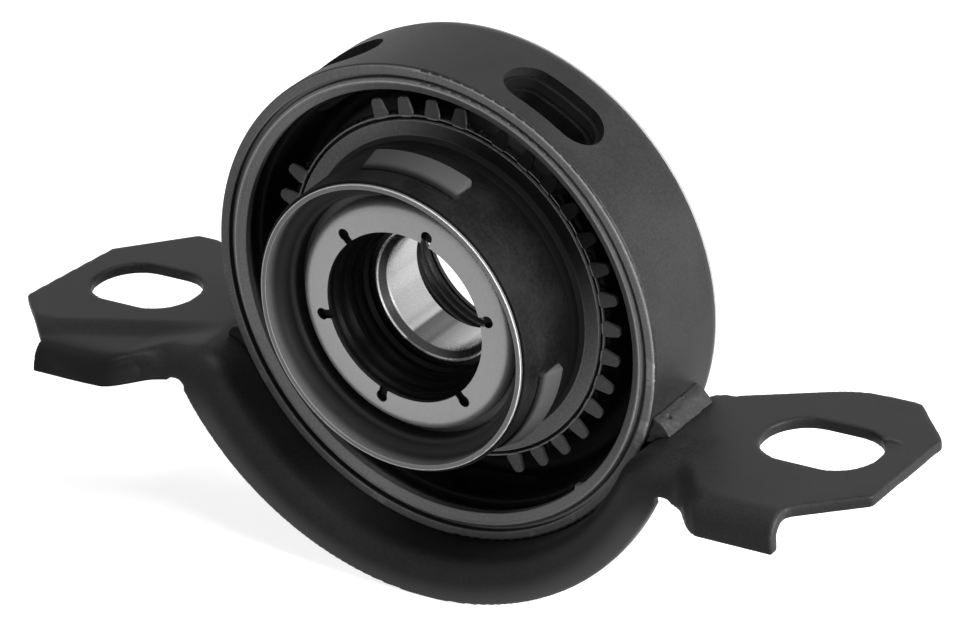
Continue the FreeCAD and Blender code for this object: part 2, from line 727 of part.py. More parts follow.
def tooth_row(name):
    """Row of rounded radial fingers from a first angle, one pitch apart."""
    count = f"{{{name}_count}}"
    sketch = plane_sketch(toothed, "XZ_Plane", name + "_profile", turn=f"{{{name}_angle}}")
    bind(sketch, "AttachmentOffset.Base.z", "-{tooth_rear}")
    outline(sketch, [
        ("{tooth_root_radius} - {tooth_bead_width}", "-{tooth_base_half_width}"),
        ("{tooth_root_radius}", "-{tooth_base_half_width}"),
        ("{tooth_tip_radius}", "-{tooth_tip_half_width}", "{tooth_tip_half_width} * {tooth_tip_share}"),
        ("{tooth_tip_radius}", "{tooth_tip_half_width}", "{tooth_tip_half_width} * {tooth_tip_share}"),
        ("{tooth_root_radius}", "{tooth_base_half_width}"),
        ("{tooth_root_radius} - {tooth_bead_width}", "{tooth_base_half_width}"),
    ])
    tooth = toothed.newObject("PartDesign::Pad", name + "_tooth")
    tooth.Profile = sketch
    bind(tooth, "Length", "{tooth_sheet}")
    row = around(toothed, name, tooth, count, f"({count} - 1) * {{tooth_pitch_angle}}")
    row.Reversed = True


for name in ("lower_row", "upper_row", "side_row"):
    tooth_row(name)

# Housing and the ring pressed into it, both on the housing's own axis below the bearing

outer_ring = new_body("cushion_outer_ring")
ring(outer_ring, "cushion_ring_shell", [
    ("{cushion_radius}", "{housing_front} + {lip_setback}", "{cushion_ring_lip}"),
    ("{housing_bore} - {groove_width}", "{housing_front} + {lip_setback}", "{cushion_ring_lip}"),
    ("{housing_bore} - {groove_width}", "{housing_front} + {groove_depth}"),
    ("{housing_bore}", "{housing_front} + {groove_depth}"),
    ("{housing_bore}", "{housing_rear} - {sheet}"),
    ("{cushion_radius}", "{housing_rear} - {sheet}"),
])
for label, direction in WINDOWS:
    vent(outer_ring, f"ring_vent_{label}", direction, 1)
bind(outer_ring, "Placement.Base.z", "-{bearing_rise}")

housing = new_body("housing_ring")
ring(housing, "housing_shell", [
    ("{housing_bore}", "{housing_front}", "{housing_edge} / 2"),
    ("{housing_radius}", "{housing_front}", "{housing_edge}"),
    ("{housing_radius}", "{housing_rear} - {housing_tail}", "2 * {housing_tail}"),
    ("{housing_radius} - {housing_tail_drop}", "{housing_rear}"),
    ("{housing_bore}", "{housing_rear}"),
])
for label, direction in TOP_WINDOWS:
    vent(housing, f"housing_vent_{label}", direction, 0)
bind(housing, "Placement.Base.z", "-{bearing_rise}")

# Mounting strap, one side at a time: half of a saddle turned about the housing's axis, a bend, a loft
# that carries the flared front edge out to the wider ear, all cut to the plan shape of that side

BEND_ANGLE = "(asin({bend_drop} / {bend_reach}) / 1 deg)"
X_AXIS = FreeCAD.Vector(1, 0, 0)


def free_sketch(name, axis, turn, across="0", along="0", up="0"):
    sketch = doc.addObject("Sketcher::SketchObject", name)
    sketch.Placement = FreeCAD.Placement(FreeCAD.Vector(), FreeCAD.Rotation(axis, 1))
    bind(sketch, "Placement.Rotation.Angle", turn)
    bind(sketch, "Placement.Base.x", across)
    bind(sketch, "Placement.Base.y", along)
    bind(sketch, "Placement.Base.z", up)
    return sketch


def strap_section(sketch, surface, side, front, rear, flare, depth):
    """Section of the strap: flat from the rear, then rolled away from its upper surface."""
    def below(text):
        return f"{surface} {side} ({text})"

    return outline(sketch, [
        (surface, rear),
        (surface, front, flare),
        (below(depth), front),
        (below(depth), f"{front} + {{strap}}"),
        (below("{strap}"), f"{front} + {{strap}}", f"{flare} - {{strap}}"),
        (below("{strap}"), rear),
    ])


def combine(kind, name, *items):
    result = doc.addObject("Part::" + kind, name)
    if kind in ("Cut", "Common"):
        result.Base, result.Tool = items
    else:
        result.Shapes = list(items)
    return result


def turned(name, sketch, axis, angle, across="0", up="0"):
    solid = doc.addObject("Part::Revolution", name)
    solid.Source = sketch
    solid.Axis = axis
    bind(solid, "Base.x", across)
    bind(solid, "Base.z", up)
    bind(solid, "Angle", angle)
    solid.Solid = True
    return solid


def extruded(name, sketch, direction, length):
    solid = doc.addObject("Part::Extrusion", name)
    solid.Base = sketch
    solid.DirMode = "Custom"
    solid.Dir = direction
    bind(solid, "LengthFwd", length)
    solid.Solid = True
    return solid


def shaft_cylinder(name, radius, across="0", up="0"):
    """Long cylinder along the shaft, used to cut or keep a round region."""
    rod = doc.addObject("Part::Cylinder", name)
    rod.Placement = FreeCAD.Placement(FreeCAD.Vector(), FreeCAD.Rotation(X_AXIS, -90))
    bind(rod, "Radius", radius)
    bind(rod, "Height", "4 * {housing_radius}")
    bind(rod, "Placement.Base.x", across)
    bind(rod, "Placement.Base.y", "-2 * {housing_radius}")
    bind(rod, "Placement.Base.z", up)
    return rod


def mirrored(name, source):
    copy = doc.addObject("Part::Mirroring", name)
    copy.Source = source
    copy.Normal = X_AXIS
    return copy


saddle_profile = free_sketch("saddle_profile", Y_AXIS, BEND_ANGLE)
strap_section(
    saddle_profile, "{housing_radius}", "+", "{saddle_front}", "{neck_rear}", "{saddle_flare}",
    "{apron_radius} + {apron_rise} - {housing_radius}",
)
half_saddle = turned("half_saddle", saddle_profile, Y_AXIS, f"90 - {BEND_ANGLE}")
apron_limit = shaft_cylinder("apron_limit", "{apron_radius}", up="{apron_rise}")

bend_profile = free_sketch("bend_profile", Y_AXIS, "-90", "{bend_spread}", "0", "-{bend_drop}")
strap_section(
    bend_profile, "{bend_radius}", "-", "{saddle_front}", "{neck_rear}", "{saddle_flare}",
    "{bend_depth}",
)
bend_round = turned(
    "bend_round", bend_profile, -Y_AXIS, f"90 - {BEND_ANGLE}", "{bend_spread}", "-{bend_drop}",
)
bend_end = extruded("bend_end", bend_profile, X_AXIS, "{notch_setback}")
saddle_and_bend = combine("MultiFuse", "saddle_and_bend", half_saddle, bend_round, bend_end)
apron = combine("Common", "apron", saddle_and_bend, apron_limit)


def ear_section(name, across, share):
    """Section of the strap on the way from the bend to the ear, its front edge moved out by a share."""
    sketch = free_sketch(name, Y_AXIS, "-90", across, "0", "-{bend_drop}")
    front = f"({{saddle_front}} + ({share}) * ({{ear_front}} - {{saddle_front}}))"
    flare = f"({{saddle_flare}} + ({share}) * ({{ear_flare}} - {{saddle_flare}}))"
    rear = "{left_ear_rear} + {strap}"
    return strap_section(sketch, "{bend_radius}", "-", front, rear, flare, "{ear_flange}")


neck_profile = ear_section("neck_profile", "{notch_start}", "0")
neck = extruded("neck", neck_profile, X_AXIS, "{notch_width}")
loft_sections = [
    ear_section("flare_start", "{notch_end}", "0"),
    ear_section("flare_first", "{notch_end} + {flare_run} / 3", "{flare_first_share}"),
    ear_section("flare_second", "{notch_end} + 2 * {flare_run} / 3", "{flare_second_share}"),
    ear_section("ear_profile", "{notch_end} + {flare_run}", "1"),
]
widening = doc.addObject("Part::Loft", "widening")
widening.Sections = loft_sections
widening.Solid = True
widening.Ruled = False
ear_length = extruded("ear_length", loft_sections[-1], X_AXIS, "{left_front_end} - {notch_end}")
wing = combine("MultiFuse", "wing", neck, widening, ear_length)

slot_profile = free_sketch("ear_slot_profile", X_AXIS, "0", "0", "0", "-2 * {housing_radius}")
stadium(slot_profile, "{hole_span} / 2", "{hole_centre}", "{hole_half_length}", "{hole_half_width}")
slot_block = extruded("ear_slot_block", slot_profile, FreeCAD.Vector(0, 0, 1), "2 * {housing_radius}")

# Relief notch in the hanging front edge, between the saddle and the ear
relief_profile = free_sketch("relief_profile", X_AXIS, "90", "0", "{saddle_front} + 2 * {strap}", "0")
outline(relief_profile, [
    ("{notch_start}", "-{ear_drop} - {notch_depth}", "{notch_corner}"),
    ("{notch_start}", "-2 * {housing_radius}"),
    ("{notch_end}", "-2 * {housing_radius}"),
    ("{notch_end}", "-{ear_drop} - {notch_depth}", "{notch_corner}"),
])
relief_block = extruded("relief_block", relief_profile, -Y_AXIS, "{housing_radius}")


def bracket_side(side):
    """Saddle half, bend and ear of one side, drawn towards +X and cut to its own plan shape."""
    flange_end = f"{{{side}_flange_end}}"
    rear = f"{{{side}_ear_rear}}"
    plan = free_sketch(f"{side}_ear_plan", X_AXIS, "0", "0", "0", "-2 * {housing_radius}")
    outline(plan, [
        ("0", "{ear_front} - {strap}"),
        (flange_end, "{ear_front} - {strap}"),
        (flange_end, f"{{{side}_flange_shoulder}}", "{strap}"),
        (f"{{{side}_front_end}}", "{ear_corner_front}", "{ear_rounding}"),
        (f"{{{side}_rear_end}}", "{ear_corner_rear}", "{ear_rounding}"),
        (f"{{{side}_shoulder}}", rear, "{ear_rounding} * 2"),
        ("{ear_taper_start}", rear, "{ear_sweep}"),
        ("{bend_spread}", "{neck_rear}"),
        ("0", "{neck_rear}"),
    ])
    plan_block = extruded(f"{side}_plan_block", plan, FreeCAD.Vector(0, 0, 1), "2 * {housing_radius}")
    cut_openings = combine("MultiFuse", f"{side}_openings", slot_block, relief_block)
    uncut = combine("MultiFuse", f"{side}_uncut", apron, wing)
    planned = combine("Common", f"{side}_planned", uncut, plan_block)
    return combine("Cut", f"{side}_side", planned, cut_openings)


left_as_mirrored = mirrored("left_as_mirrored", bracket_side("left"))
bracket = combine("MultiFuse", "mounting_bracket", bracket_side("right"), left_as_mirrored)
bracket.Refine = True
bracket.Label = "mounting_bracket"
bind(bracket, "Placement.Base.z", "-{bearing_rise}")
finished.append(bracket)

# Weld beads in the grooves between the housing and the ears

under_ear = doc.addObject("Part::Box", "weld_under_ear")
bind(under_ear, "Length", "{housing_radius}")
bind(under_ear, "Width", "4 * {housing_radius}")
bind(under_ear, "Height", "{housing_radius}")
bind(under_ear, "Placement.Base.x", "{bend_spread}")
bind(under_ear, "Placement.Base.y", "-2 * {housing_radius}")
bind(under_ear, "Placement.Base.z", "-{ear_drop} - {housing_radius}")
weld_limits = combine(
    "MultiFuse", "weld_limits",
    shaft_cylinder("weld_at_housing", "{housing_radius}"),
    shaft_cylinder("weld_at_bend", "{bend_radius}", "{bend_spread}", "-{bend_drop}"),
    under_ear,
)


def weld_bead(side):
    """Bead along the housing, drawn towards +X, with a rounded outer face."""
    top = f"({{{side}_weld_height}} - {{ear_drop}})"
    top_reach = f"sqrt({{housing_radius}}^2 - {top}^2)"
    toe = f"({{housing_radius}} + {{{side}_weld_reach}})"
    inner = "{housing_radius} * {weld_inner_share}"
    root = "-{ear_drop} - {weld_root}"
    middle = f"({top_reach} + {toe}) / 2 + {{weld_crown}}"
    middle_height = f"({top} - {{ear_drop}}) / 2 + {{weld_crown}}"
    profile = free_sketch(f"{side}_weld_profile", X_AXIS, "90", "0", "{weld_rear}", "0")
    outline(profile, [
        (inner, top), (top_reach, top), (middle, middle_height, f"{{{side}_weld_height}}"),
        (toe, "-{ear_drop}"), (toe, root), (inner, root),
    ])
    block = extruded(f"{side}_weld_block", profile, -Y_AXIS, "{weld_rear} - {weld_front}")
    return combine("Cut", f"{side}_weld", block, weld_limits)


weld_right = weld_bead("right")
bind(weld_right, "Placement.Base.z", "-{bearing_rise}")
weld_left = mirrored("left_weld_mirrored", weld_bead("left"))
bind(weld_left, "Placement.Base.z", "-{bearing_rise}")
for label, weld in (("right", weld_right), ("left", weld_left)):
    weld.Label = "weld_bead_" + label
    finished.append(weld)

doc.recompute()

faults = [item.Name for item in doc.Objects if {"Invalid", "Error"} & set(item.State)]
faults += [item.Name for item in finished if item.Shape.isNull() or not item.Shape.isValid()]
if faults:
    raise RuntimeError("failed objects: " + ", ".join(faults))

os.makedirs("parts", exist_ok=True)
for item in finished:
    item.Shape.exportStep(f"parts/{item.Label}.step")
    print(item.Label, len(item.Shape.Solids), round(item.Shape.Volume, 1))
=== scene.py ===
import functools
import math

import bmesh
import bpy
from mathutils import Matrix, Vector, noise


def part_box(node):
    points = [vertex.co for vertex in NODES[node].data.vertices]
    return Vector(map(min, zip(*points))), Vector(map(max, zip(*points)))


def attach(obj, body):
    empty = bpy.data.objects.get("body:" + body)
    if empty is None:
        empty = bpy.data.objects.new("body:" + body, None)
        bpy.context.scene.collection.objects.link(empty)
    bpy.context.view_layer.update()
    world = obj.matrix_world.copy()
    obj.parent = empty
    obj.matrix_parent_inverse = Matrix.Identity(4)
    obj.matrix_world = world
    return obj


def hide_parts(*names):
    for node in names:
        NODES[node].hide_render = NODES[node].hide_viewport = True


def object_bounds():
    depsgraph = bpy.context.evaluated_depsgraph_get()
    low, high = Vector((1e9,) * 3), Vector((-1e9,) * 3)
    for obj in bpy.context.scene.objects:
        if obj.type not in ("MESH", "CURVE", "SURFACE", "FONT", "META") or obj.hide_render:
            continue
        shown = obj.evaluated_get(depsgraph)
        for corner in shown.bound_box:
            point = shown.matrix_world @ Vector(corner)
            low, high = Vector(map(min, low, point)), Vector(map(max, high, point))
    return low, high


bl_info = {
    "name": "Driveshaft Centre Bearing",
    "version": (1, 0, 0),
    "blender": (4, 5, 0),
    "location": "View3D > Sidebar > Centre Bearing",
    "description": "Dresses a driveshaft centre bearing: painted strap and ring, rubber, seals, steel",
    "category": "Object",
}

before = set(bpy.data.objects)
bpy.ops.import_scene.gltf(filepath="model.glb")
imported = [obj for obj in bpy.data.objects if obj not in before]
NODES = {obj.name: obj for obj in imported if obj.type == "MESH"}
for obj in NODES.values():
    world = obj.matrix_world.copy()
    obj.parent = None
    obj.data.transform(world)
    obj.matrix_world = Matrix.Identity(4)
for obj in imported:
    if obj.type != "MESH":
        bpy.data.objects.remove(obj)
CAD_BOX = [list(corner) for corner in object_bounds()]
MM = 0.001
WHITE = (1.0, 1.0, 1.0, 1.0)
FIXED = "mount_body"
HOUSING_LOW, HOUSING_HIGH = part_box("housing_ring")
CARRIER_LOW, CARRIER_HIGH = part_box("bearing_carrier")
CASE_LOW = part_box("dust_seal_case_front")[0]
RISE = -(HOUSING_LOW.z + HOUSING_HIGH.z) / 2

# Sizes and colours that a user would change


def coordinate(name, text, value, **limits):
    """A length, or a signed place along the shaft."""
    return bpy.props.FloatProperty(
        name=name, description=text, default=value, unit="LENGTH", precision=5, **limits
    )


def length(name, text, value):
    return coordinate(name, text, value, min=0.0)


def colour(name, text, value):
    return bpy.props.FloatVectorProperty(
        name=name, description=text, default=value, size=3, subtype="COLOR", min=0.0, max=1.0
    )


def grey(name, text, level):
    return colour(name, text, (level, level, level))


def angle(name, text, degrees):
    return bpy.props.FloatProperty(
        name=name, description=text, default=math.radians(degrees), subtype="ANGLE"
    )


class BearingSizes(bpy.types.PropertyGroup):
    housing_front: coordinate("Housing front", "Front rim of the ring", HOUSING_LOW.y)
    bearing_rise: length("Bearing rise", "Height of the bearing's axis above the ring's", RISE)
    cup_radius: length("Cup radius", "Outside of the dust cup", CARRIER_HIGH.x)
    cup_sheet: length("Cup sheet", "Thickness of the carrier's sheet", 1.2 * MM)
    cup_front: coordinate("Cup front", "Open rim of the dust cup", CARRIER_LOW.y)
    case_face: length("Case face", "Front of the seal case", -CASE_LOW.y)
    lip_radius: length("Lip radius", "Free edge of the dust seals", 18.6 * MM)
    collar_radius: length("Collar radius", "Rubber collar behind the dust cup", 37.3 * MM)
    cushion_radius: length("Cushion radius", "Outside of the rubber cushion", 55.5 * MM)
    flange_edge: length("Flange edge", "Sheared outer edge of the flange ring", 42.4 * MM)
    tooth_front: coordinate("Tooth front", "Front face of the fingers", -3.7 * MM)
    tooth_tip: length("Tooth tip", "Radius of the finger tips", 48.2 * MM)
    tooth_root: length("Tooth root", "Radius of the toothed ring's rim", 43.15 * MM)
    tooth_pitch: angle("Tooth pitch", "Angle between fingers", 9.6)
    remesh_size: length("Remesh size", "Cell of the softened strap", 0.6 * MM)


class BearingColours(bpy.types.PropertyGroup):
    paint: colour("Paint", "Satin black of the ring and strap", (0.010, 0.010, 0.0104))
    paint_light: colour("Paint, light", "Paint where it is thin or dusty", (0.022, 0.022, 0.0225))
    # The bare steel colour also gives the painted highlights along ring edges and crests.
    bare: grey("Bare steel", "Steel where the paint is chipped", 0.30)
    rubber: colour("Rubber", "Moulded black rubber", (0.004, 0.004, 0.0042))
    rubber_light: colour("Rubber, light", "Dusty bloom on the rubber", (0.015, 0.015, 0.0155))
    plate: grey("Plated sheet", "Toothed ring", 0.15)
    flange: grey("Flange", "Pressed flange ring", 0.25)
    # The pad colour is a painted sheen on the raised pads of the collar.
    pad: grey("Pad", "Dusty raised pads on the collar", 0.07)
    inner_ring: grey("Inner ring", "Ring pressed into the housing", 0.17)
    carrier: grey("Carrier", "Bearing carrier and dust cup", 0.12)
    case: grey("Seal case", "Case of the dust seal", 0.47)
    race: grey("Race", "Ground bearing steel", 0.66)
    ball: grey("Ball", "Polished bearing balls", 0.75)
    cage: grey("Cage", "Pressed cage and its rivets", 0.4)


# Node trees


class Nodes:
    """A node tree, with short ways to add and feed its nodes."""

    def __init__(self, tree):
        self.tree = tree

    def feed(self, target, item):
        """Links a socket to the target, or sets the target to a value."""
        if isinstance(item, bpy.types.NodeSocket):
            self.tree.links.new(item, target)
        else:
            target.default_value = item

    def add(self, kind, inputs=None, **settings):
        node = self.tree.nodes.new(kind)
        for key, value in settings.items():
            setattr(node, key, value)
        for key, item in (inputs or {}).items():
            self.feed(node.inputs[key], item)
        return node

    def math(self, operation, *items):
        return self.add("ShaderNodeMath", dict(enumerate(items)), operation=operation).outputs[0]

    def product(self, first, *others):
        for item in others:
            first = self.math("MULTIPLY", first, item)
        return first

    def ramp(self, source, low, high):
        """Smooth step from 0 at low to 1 at high."""
        inputs = {0: source, 1: low, 2: high}
        return self.add("ShaderNodeMapRange", inputs, interpolation_type="SMOOTHSTEP").outputs[0]

    def noise(self, vector, scale, detail, roughness):
        inputs = {"Vector": vector, "Scale": scale, "Detail": detail, "Roughness": roughness}
        return self.add("ShaderNodeTexNoise", inputs, noise_dimensions="3D").outputs[0]

    def split(self, vector):
        return self.add("ShaderNodeSeparateXYZ", {0: vector}).outputs

    def combine(self, *parts):
        return self.add("ShaderNodeCombineXYZ", dict(enumerate(parts))).outputs[0]


def cleared(owner):
    """The emptied node tree of a new world or material."""
    owner.use_nodes = True
    owner.node_tree.nodes.clear()
    return Nodes(owner.node_tree)


class Group(Nodes):
    """A new node group, with sockets given as (name, kind[, value])."""

    def __init__(self, name, inputs, outputs, kind="ShaderNodeTree"):
        super().__init__(bpy.data.node_groups.new(name, kind))
        for direction, rows in (("INPUT", inputs), ("OUTPUT", outputs)):
            for label, socket_kind, *value in rows:
                item = self.tree.interface.new_socket(
                    name=label, in_out=direction, socket_type="NodeSocket" + socket_kind
                )
                if value:
                    item.default_value = value[0]
        self.enter = self.add("NodeGroupInput").outputs
        self.leave = self.add("NodeGroupOutput").inputs

    def give(self, name, source):
        self.feed(self.leave[name], source)


@functools.cache
def grain_group():
    """Fine grain with slow patches: a value round 0.5 and a height."""
    group = Group("Surface grain", [
        ("Position", "Vector"), ("Grain size", "Float", 900.0), ("Patch size", "Float", 40.0),
        ("Patchiness", "Float", 0.5),
    ], [("Value", "Float"), ("Height", "Float")])
    fine = group.noise(group.enter["Position"], group.enter["Grain size"], 3.0, 0.6)
    patch = group.noise(group.enter["Position"], group.enter["Patch size"], 3.0, 0.5)
    mix = group.add("ShaderNodeMix", {0: group.enter["Patchiness"], 2: fine, 3: patch}, data_type="FLOAT")
    group.give("Value", group.ramp(mix.outputs[0], 0.3, 0.7))
    group.give("Height", fine)
    return group.tree


@functools.cache
def band_group():
    """Mask of a ragged band: 1 where a distance lies within a half width, broken up by noise."""
    group = Group("Worn band", [
        ("Position", "Vector"), ("Distance", "Float"), ("Half width", "Float", 0.0005),
        ("Raggedness", "Float", 0.0004), ("Chip size", "Float", 700.0), ("Bare stretch", "Float", 0.0),
    ], [("Mask", "Float")])
    swing_share, outer_share, slow_scale, stretch_blur = 4.0, 1.25, 110.0, 0.06
    position, width, stretch = (group.enter[name] for name in ("Position", "Half width", "Bare stretch"))
    chips = group.noise(position, group.enter["Chip size"], 5.0, 0.6)
    swing = group.math("SUBTRACT", chips, 0.5)
    shift = group.product(swing, group.enter["Raggedness"], swing_share)
    edge = group.math("ADD", group.math("ABSOLUTE", group.enter["Distance"]), shift)
    mask = group.ramp(edge, group.product(width, outer_share), width)
    slow = group.noise(position, slow_scale, 3.0, 0.6)
    bare = group.ramp(slow, group.math("SUBTRACT", stretch, stretch_blur), stretch)
    group.give("Mask", group.product(mask, bare))
    return group.tree


@functools.cache
def speck_group():
    """Sparse small specks of dust or chipped paint."""
    group = Group("Specks", [
        ("Position", "Vector"), ("Spacing", "Float", 220.0), ("Amount", "Float", 0.06),
    ], [("Mask", "Float")])
    share_left_out = 0.72
    cells = group.add("ShaderNodeTexVoronoi", {
        "Vector": group.enter["Position"], "Scale": group.enter["Spacing"],
    }, feature="F1")
    near = group.ramp(cells.outputs["Distance"], group.enter["Amount"], 0.0)
    picked = group.add("ShaderNodeSeparateColor", {0: cells.outputs["Color"]}).outputs[0]
    group.give("Mask", group.product(near, group.math("GREATER_THAN", picked, share_left_out)))
    return group.tree


@functools.cache
def polar_group():
    """Radius, angle and place along the shaft, round an axis at a height."""
    group = Group("Round the shaft", [("Position", "Vector"), ("Axis height", "Float", 0.0)], [
        ("Radius", "Float"), ("Angle", "Float"), ("Along", "Float"), ("Unrolled", "Vector"),
    ])
    across, along, height = group.split(group.enter["Position"])
    up = group.math("SUBTRACT", height, group.enter["Axis height"])
    squared = group.math("ADD", group.product(across, across), group.product(up, up))
    radius = group.math("SQRT", squared)
    turn = group.math("ARCTAN2", up, across)
    group.give("Radius", radius)
    group.give("Angle", turn)
    group.give("Along", along)
    group.give("Unrolled", group.combine(radius, along, turn))
    return group.tree


# Materials


def scaled(tint, share):
    return [share * part for part in tint]


class Finish(Nodes):
    """A material with its own Principled shader, and steps that each colour over the last."""

    def __init__(self, name, roughness, metallic=0.0, specular=0.5):
        self.material = bpy.data.materials.new(name)
        self.material.use_nodes = True
        super().__init__(self.material.node_tree)
        self.shader = self.tree.nodes["Principled BSDF"]
        self.position = self.add("ShaderNodeTexCoord").outputs["Object"]
        self.normal = None
        self.set("Roughness", roughness)
        self.set("Metallic", metallic)
        self.set("Specular IOR Level", specular)

    def set(self, name, item):
        self.feed(self.shader.inputs[name], item)

    def mix(self, mask, first, second):
        first, second = (
            item if isinstance(item, bpy.types.NodeSocket) else (*item, 1.0) for item in (first, second)
        )
        return self.add("ShaderNodeMix", {0: mask, 6: first, 7: second}, data_type="RGBA").outputs[2]

    def value(self, mask, low, high):
        """Low where the mask is 0, and high where it is 1."""
        return self.add("ShaderNodeMapRange", {0: mask, 3: low, 4: high}).outputs[0]

    def tint(self, mask, tint):
        """Lays a colour over the present one where the mask is 1."""
        present = self.shader.inputs["Base Color"].links[0].from_socket
        self.set("Base Color", self.mix(mask, present, tint))
        return self

    def bump(self, height, distance, strength):
        inputs = {"Strength": strength, "Distance": distance, "Height": height}
        if self.normal is not None:
            inputs["Normal"] = self.normal
        self.normal = self.add("ShaderNodeBump", inputs).outputs[0]
        self.set("Normal", self.normal)

    def use(self, tree, **inputs):
        """Outputs of a shared group at this material's position; half_width feeds Half width."""
        fed = {key.replace("_", " ").capitalize(): item for key, item in inputs.items()}
        return self.add("ShaderNodeGroup", {"Position": self.position, **fed}, node_tree=tree).outputs

    def polar(self, height=0.0):
        return self.use(polar_group(), axis_height=height)

    def band(self, distance, half_width, raggedness, chip_size=900.0, bare_stretch=0.0):
        return self.use(
            band_group(), distance=distance, half_width=half_width, raggedness=raggedness,
            chip_size=chip_size, bare_stretch=bare_stretch,
        )["Mask"]

    def shaded_depth(self, near, far, dark):
        """Painted shade: darkens a pressed piece along the shaft, from its open front to its shaded
        inside.
        """
        return self.tint(self.ramp(self.polar()["Along"], near, far), dark)

    def painted_dark_band(self, low, high, level):
        """Painted dark ring between two radii: painted shade in a groove or gap between parts, and
        painted dark reflection bands on the races.
        """
        blur = 0.1 * MM
        radius = self.polar()["Radius"]
        inside = self.ramp(radius, low - blur, low + blur)
        outside = self.ramp(radius, high + blur, high - blur)
        return self.tint(self.product(inside, outside), (level, level, level))

    def painted_edge_highlight(self, radius, bright, height=0.0):
        """Thin bright line along the edge or crest of a pressed ring: a painted highlight."""
        distance = self.math("SUBTRACT", self.polar(height)["Radius"], radius)
        return self.tint(self.band(distance, 0.12 * MM, 0.06 * MM), scaled(bright, 1.3))

    def painted_shadow_sector(self, dark, reach=78.0):
        """Painted shadow on the upper right of a pressed ring, out to a reach in degrees."""
        middle, solid = 48.0, 18.0
        turn = self.math("SUBTRACT", self.polar()["Angle"], math.radians(middle))
        away = self.math("ABSOLUTE", turn)
        return self.tint(self.ramp(away, math.radians(reach), math.radians(solid)), dark)

    def painted_bore_reflection(self, tint, strength):
        """Painted dark reflection in the bore, which starts sharply low down and thins out, with slow
        patches.
        """
        polar = self.polar()
        start = self.ramp(polar["Angle"], math.radians(-128.0), math.radians(-124.0))
        thin = self.ramp(polar["Angle"], math.radians(-130.0), math.radians(-60.0))
        slow = self.noise(polar["Unrolled"], 2.0, 2.0, 0.5)
        patches = self.product(self.ramp(slow, 0.5, 0.35), 0.3)
        painted_reflection = self.product(start, self.math("SUBTRACT", 1.0, thin), strength)
        mask = self.math("MINIMUM", self.math("ADD", painted_reflection, patches), 1.0)
        return self.tint(mask, scaled(tint, 0.15))

    def painted_pad_sheen(self, colours, sizes):
        """Painted sheen: a lighter colour, in fine streaks, on the raised pads of the collar."""
        polar = self.polar()
        foot, top = sizes.collar_radius + 0.1 * MM, sizes.collar_radius + 0.7 * MM
        rear, full = -13.2 * MM, -13.8 * MM
        mask = self.product(self.ramp(polar["Radius"], foot, top), self.ramp(polar["Along"], rear, full))
        lines = self.noise(polar["Unrolled"], 1300.0, 3.0, 0.6)
        return self.tint(mask, self.mix(lines, scaled(colours.pad, 0.7), scaled(colours.pad, 1.3)))

    def painted_case_shade(self, sizes):
        """Painted shade: black on the walls in the keyhole notches, and a darker step behind the
        shoulder.
        """
        polar = self.polar()
        along = self.math("ABSOLUTE", polar["Along"])
        step = self.ramp(along, sizes.case_face - 3.0 * MM, sizes.case_face - 3.6 * MM)
        behind = self.ramp(along, sizes.case_face - 0.1 * MM, sizes.case_face - 0.2 * MM)
        inner = self.ramp(polar["Radius"], 26.8 * MM, 26.4 * MM)
        self.tint(step, (0.07, 0.07, 0.07))
        return self.tint(self.product(behind, inner), (0.004, 0.004, 0.004))

    def bare_rim_and_highlights(self, sizes, bright):
        """Cut front rim of the dust cup: a dull bare face between two thin bright lines, which are
        painted highlights.
        """
        polar = self.polar()
        away = self.math("SUBTRACT", polar["Along"], sizes.cup_front)
        face = self.ramp(away, 0.25 * MM, 0.08 * MM)
        self.tint(face, scaled(bright, 0.9))
        inside = sizes.cup_radius - sizes.cup_sheet
        for radius, width, share in ((sizes.cup_radius, 0.22 * MM, 2.4), (inside, 0.14 * MM, 1.2)):
            distance = self.math("SUBTRACT", polar["Radius"], radius)
            line = self.band(distance, width, 0.1 * MM)
            self.tint(self.product(line, face), scaled(bright, share))
        return self

    def worn_rim(self, colours, sizes):
        """Rough grey front rim with chips, and a bright rear edge, on the painted ring."""
        polar = self.polar(-sizes.bearing_rise)
        away = self.math("SUBTRACT", polar["Along"], sizes.housing_front)
        scratched = self.noise(polar["Unrolled"], 900.0, 4.0, 0.7)
        grey = self.mix(self.ramp(scratched, 0.25, 0.85), scaled(colours.paint_light, 5.8), colours.bare)
        self.tint(self.ramp(away, 0.4 * MM, 0.12 * MM), grey)
        chips = self.band(away, 0.12 * MM, 0.3 * MM, bare_stretch=0.66)
        rear = self.math("SUBTRACT", polar["Along"], HOUSING_HIGH.y - 0.5 * MM)
        edge = self.band(rear, 0.5 * MM, 0.1 * MM, 700.0)
        return self.tint(self.product(self.math("MAXIMUM", chips, edge), 0.8), colours.bare)

    def painted_apron_sheen_and_shade(self, colours, sizes):
        """Painted sheen on the strap's outer apron, and painted shade on the left ear's rolled front."""
        polar = self.polar(-sizes.bearing_rise)
        across, along, up = self.split(self.position)
        wide = self.ramp(polar["Radius"], 65.5 * MM, 71.5 * MM)
        near = self.ramp(polar["Along"], -14.0 * MM, -24.0 * MM)
        low = self.ramp(up, -30.0 * MM, -42.0 * MM)
        self.tint(self.product(wide, near, low), scaled(colours.paint_light, 4.5))
        left = self.ramp(across, -55.0 * MM, -67.0 * MM)
        rolled = self.ramp(along, -24.0 * MM, -28.0 * MM)
        return self.tint(self.product(left, rolled), scaled(colours.paint, 0.25))


def black_paint(name, colours):
    """Satin black paint with orange peel and dust specks."""
    finish = Finish(name, roughness=0.46, specular=0.14)
    grain = finish.use(grain_group(), grain_size=1700.0, patch_size=60.0, patchiness=0.4)
    specks = finish.use(speck_group(), spacing=210.0, amount=0.03)
    finish.set("Base Color", finish.mix(grain["Value"], colours.paint, colours.paint_light))
    finish.set("Roughness", finish.value(grain["Value"], 0.40, 0.50))
    finish.bump(grain["Height"], 0.04 * MM, 0.3)
    return finish.tint(specks["Mask"], scaled(colours.bare, 0.5))


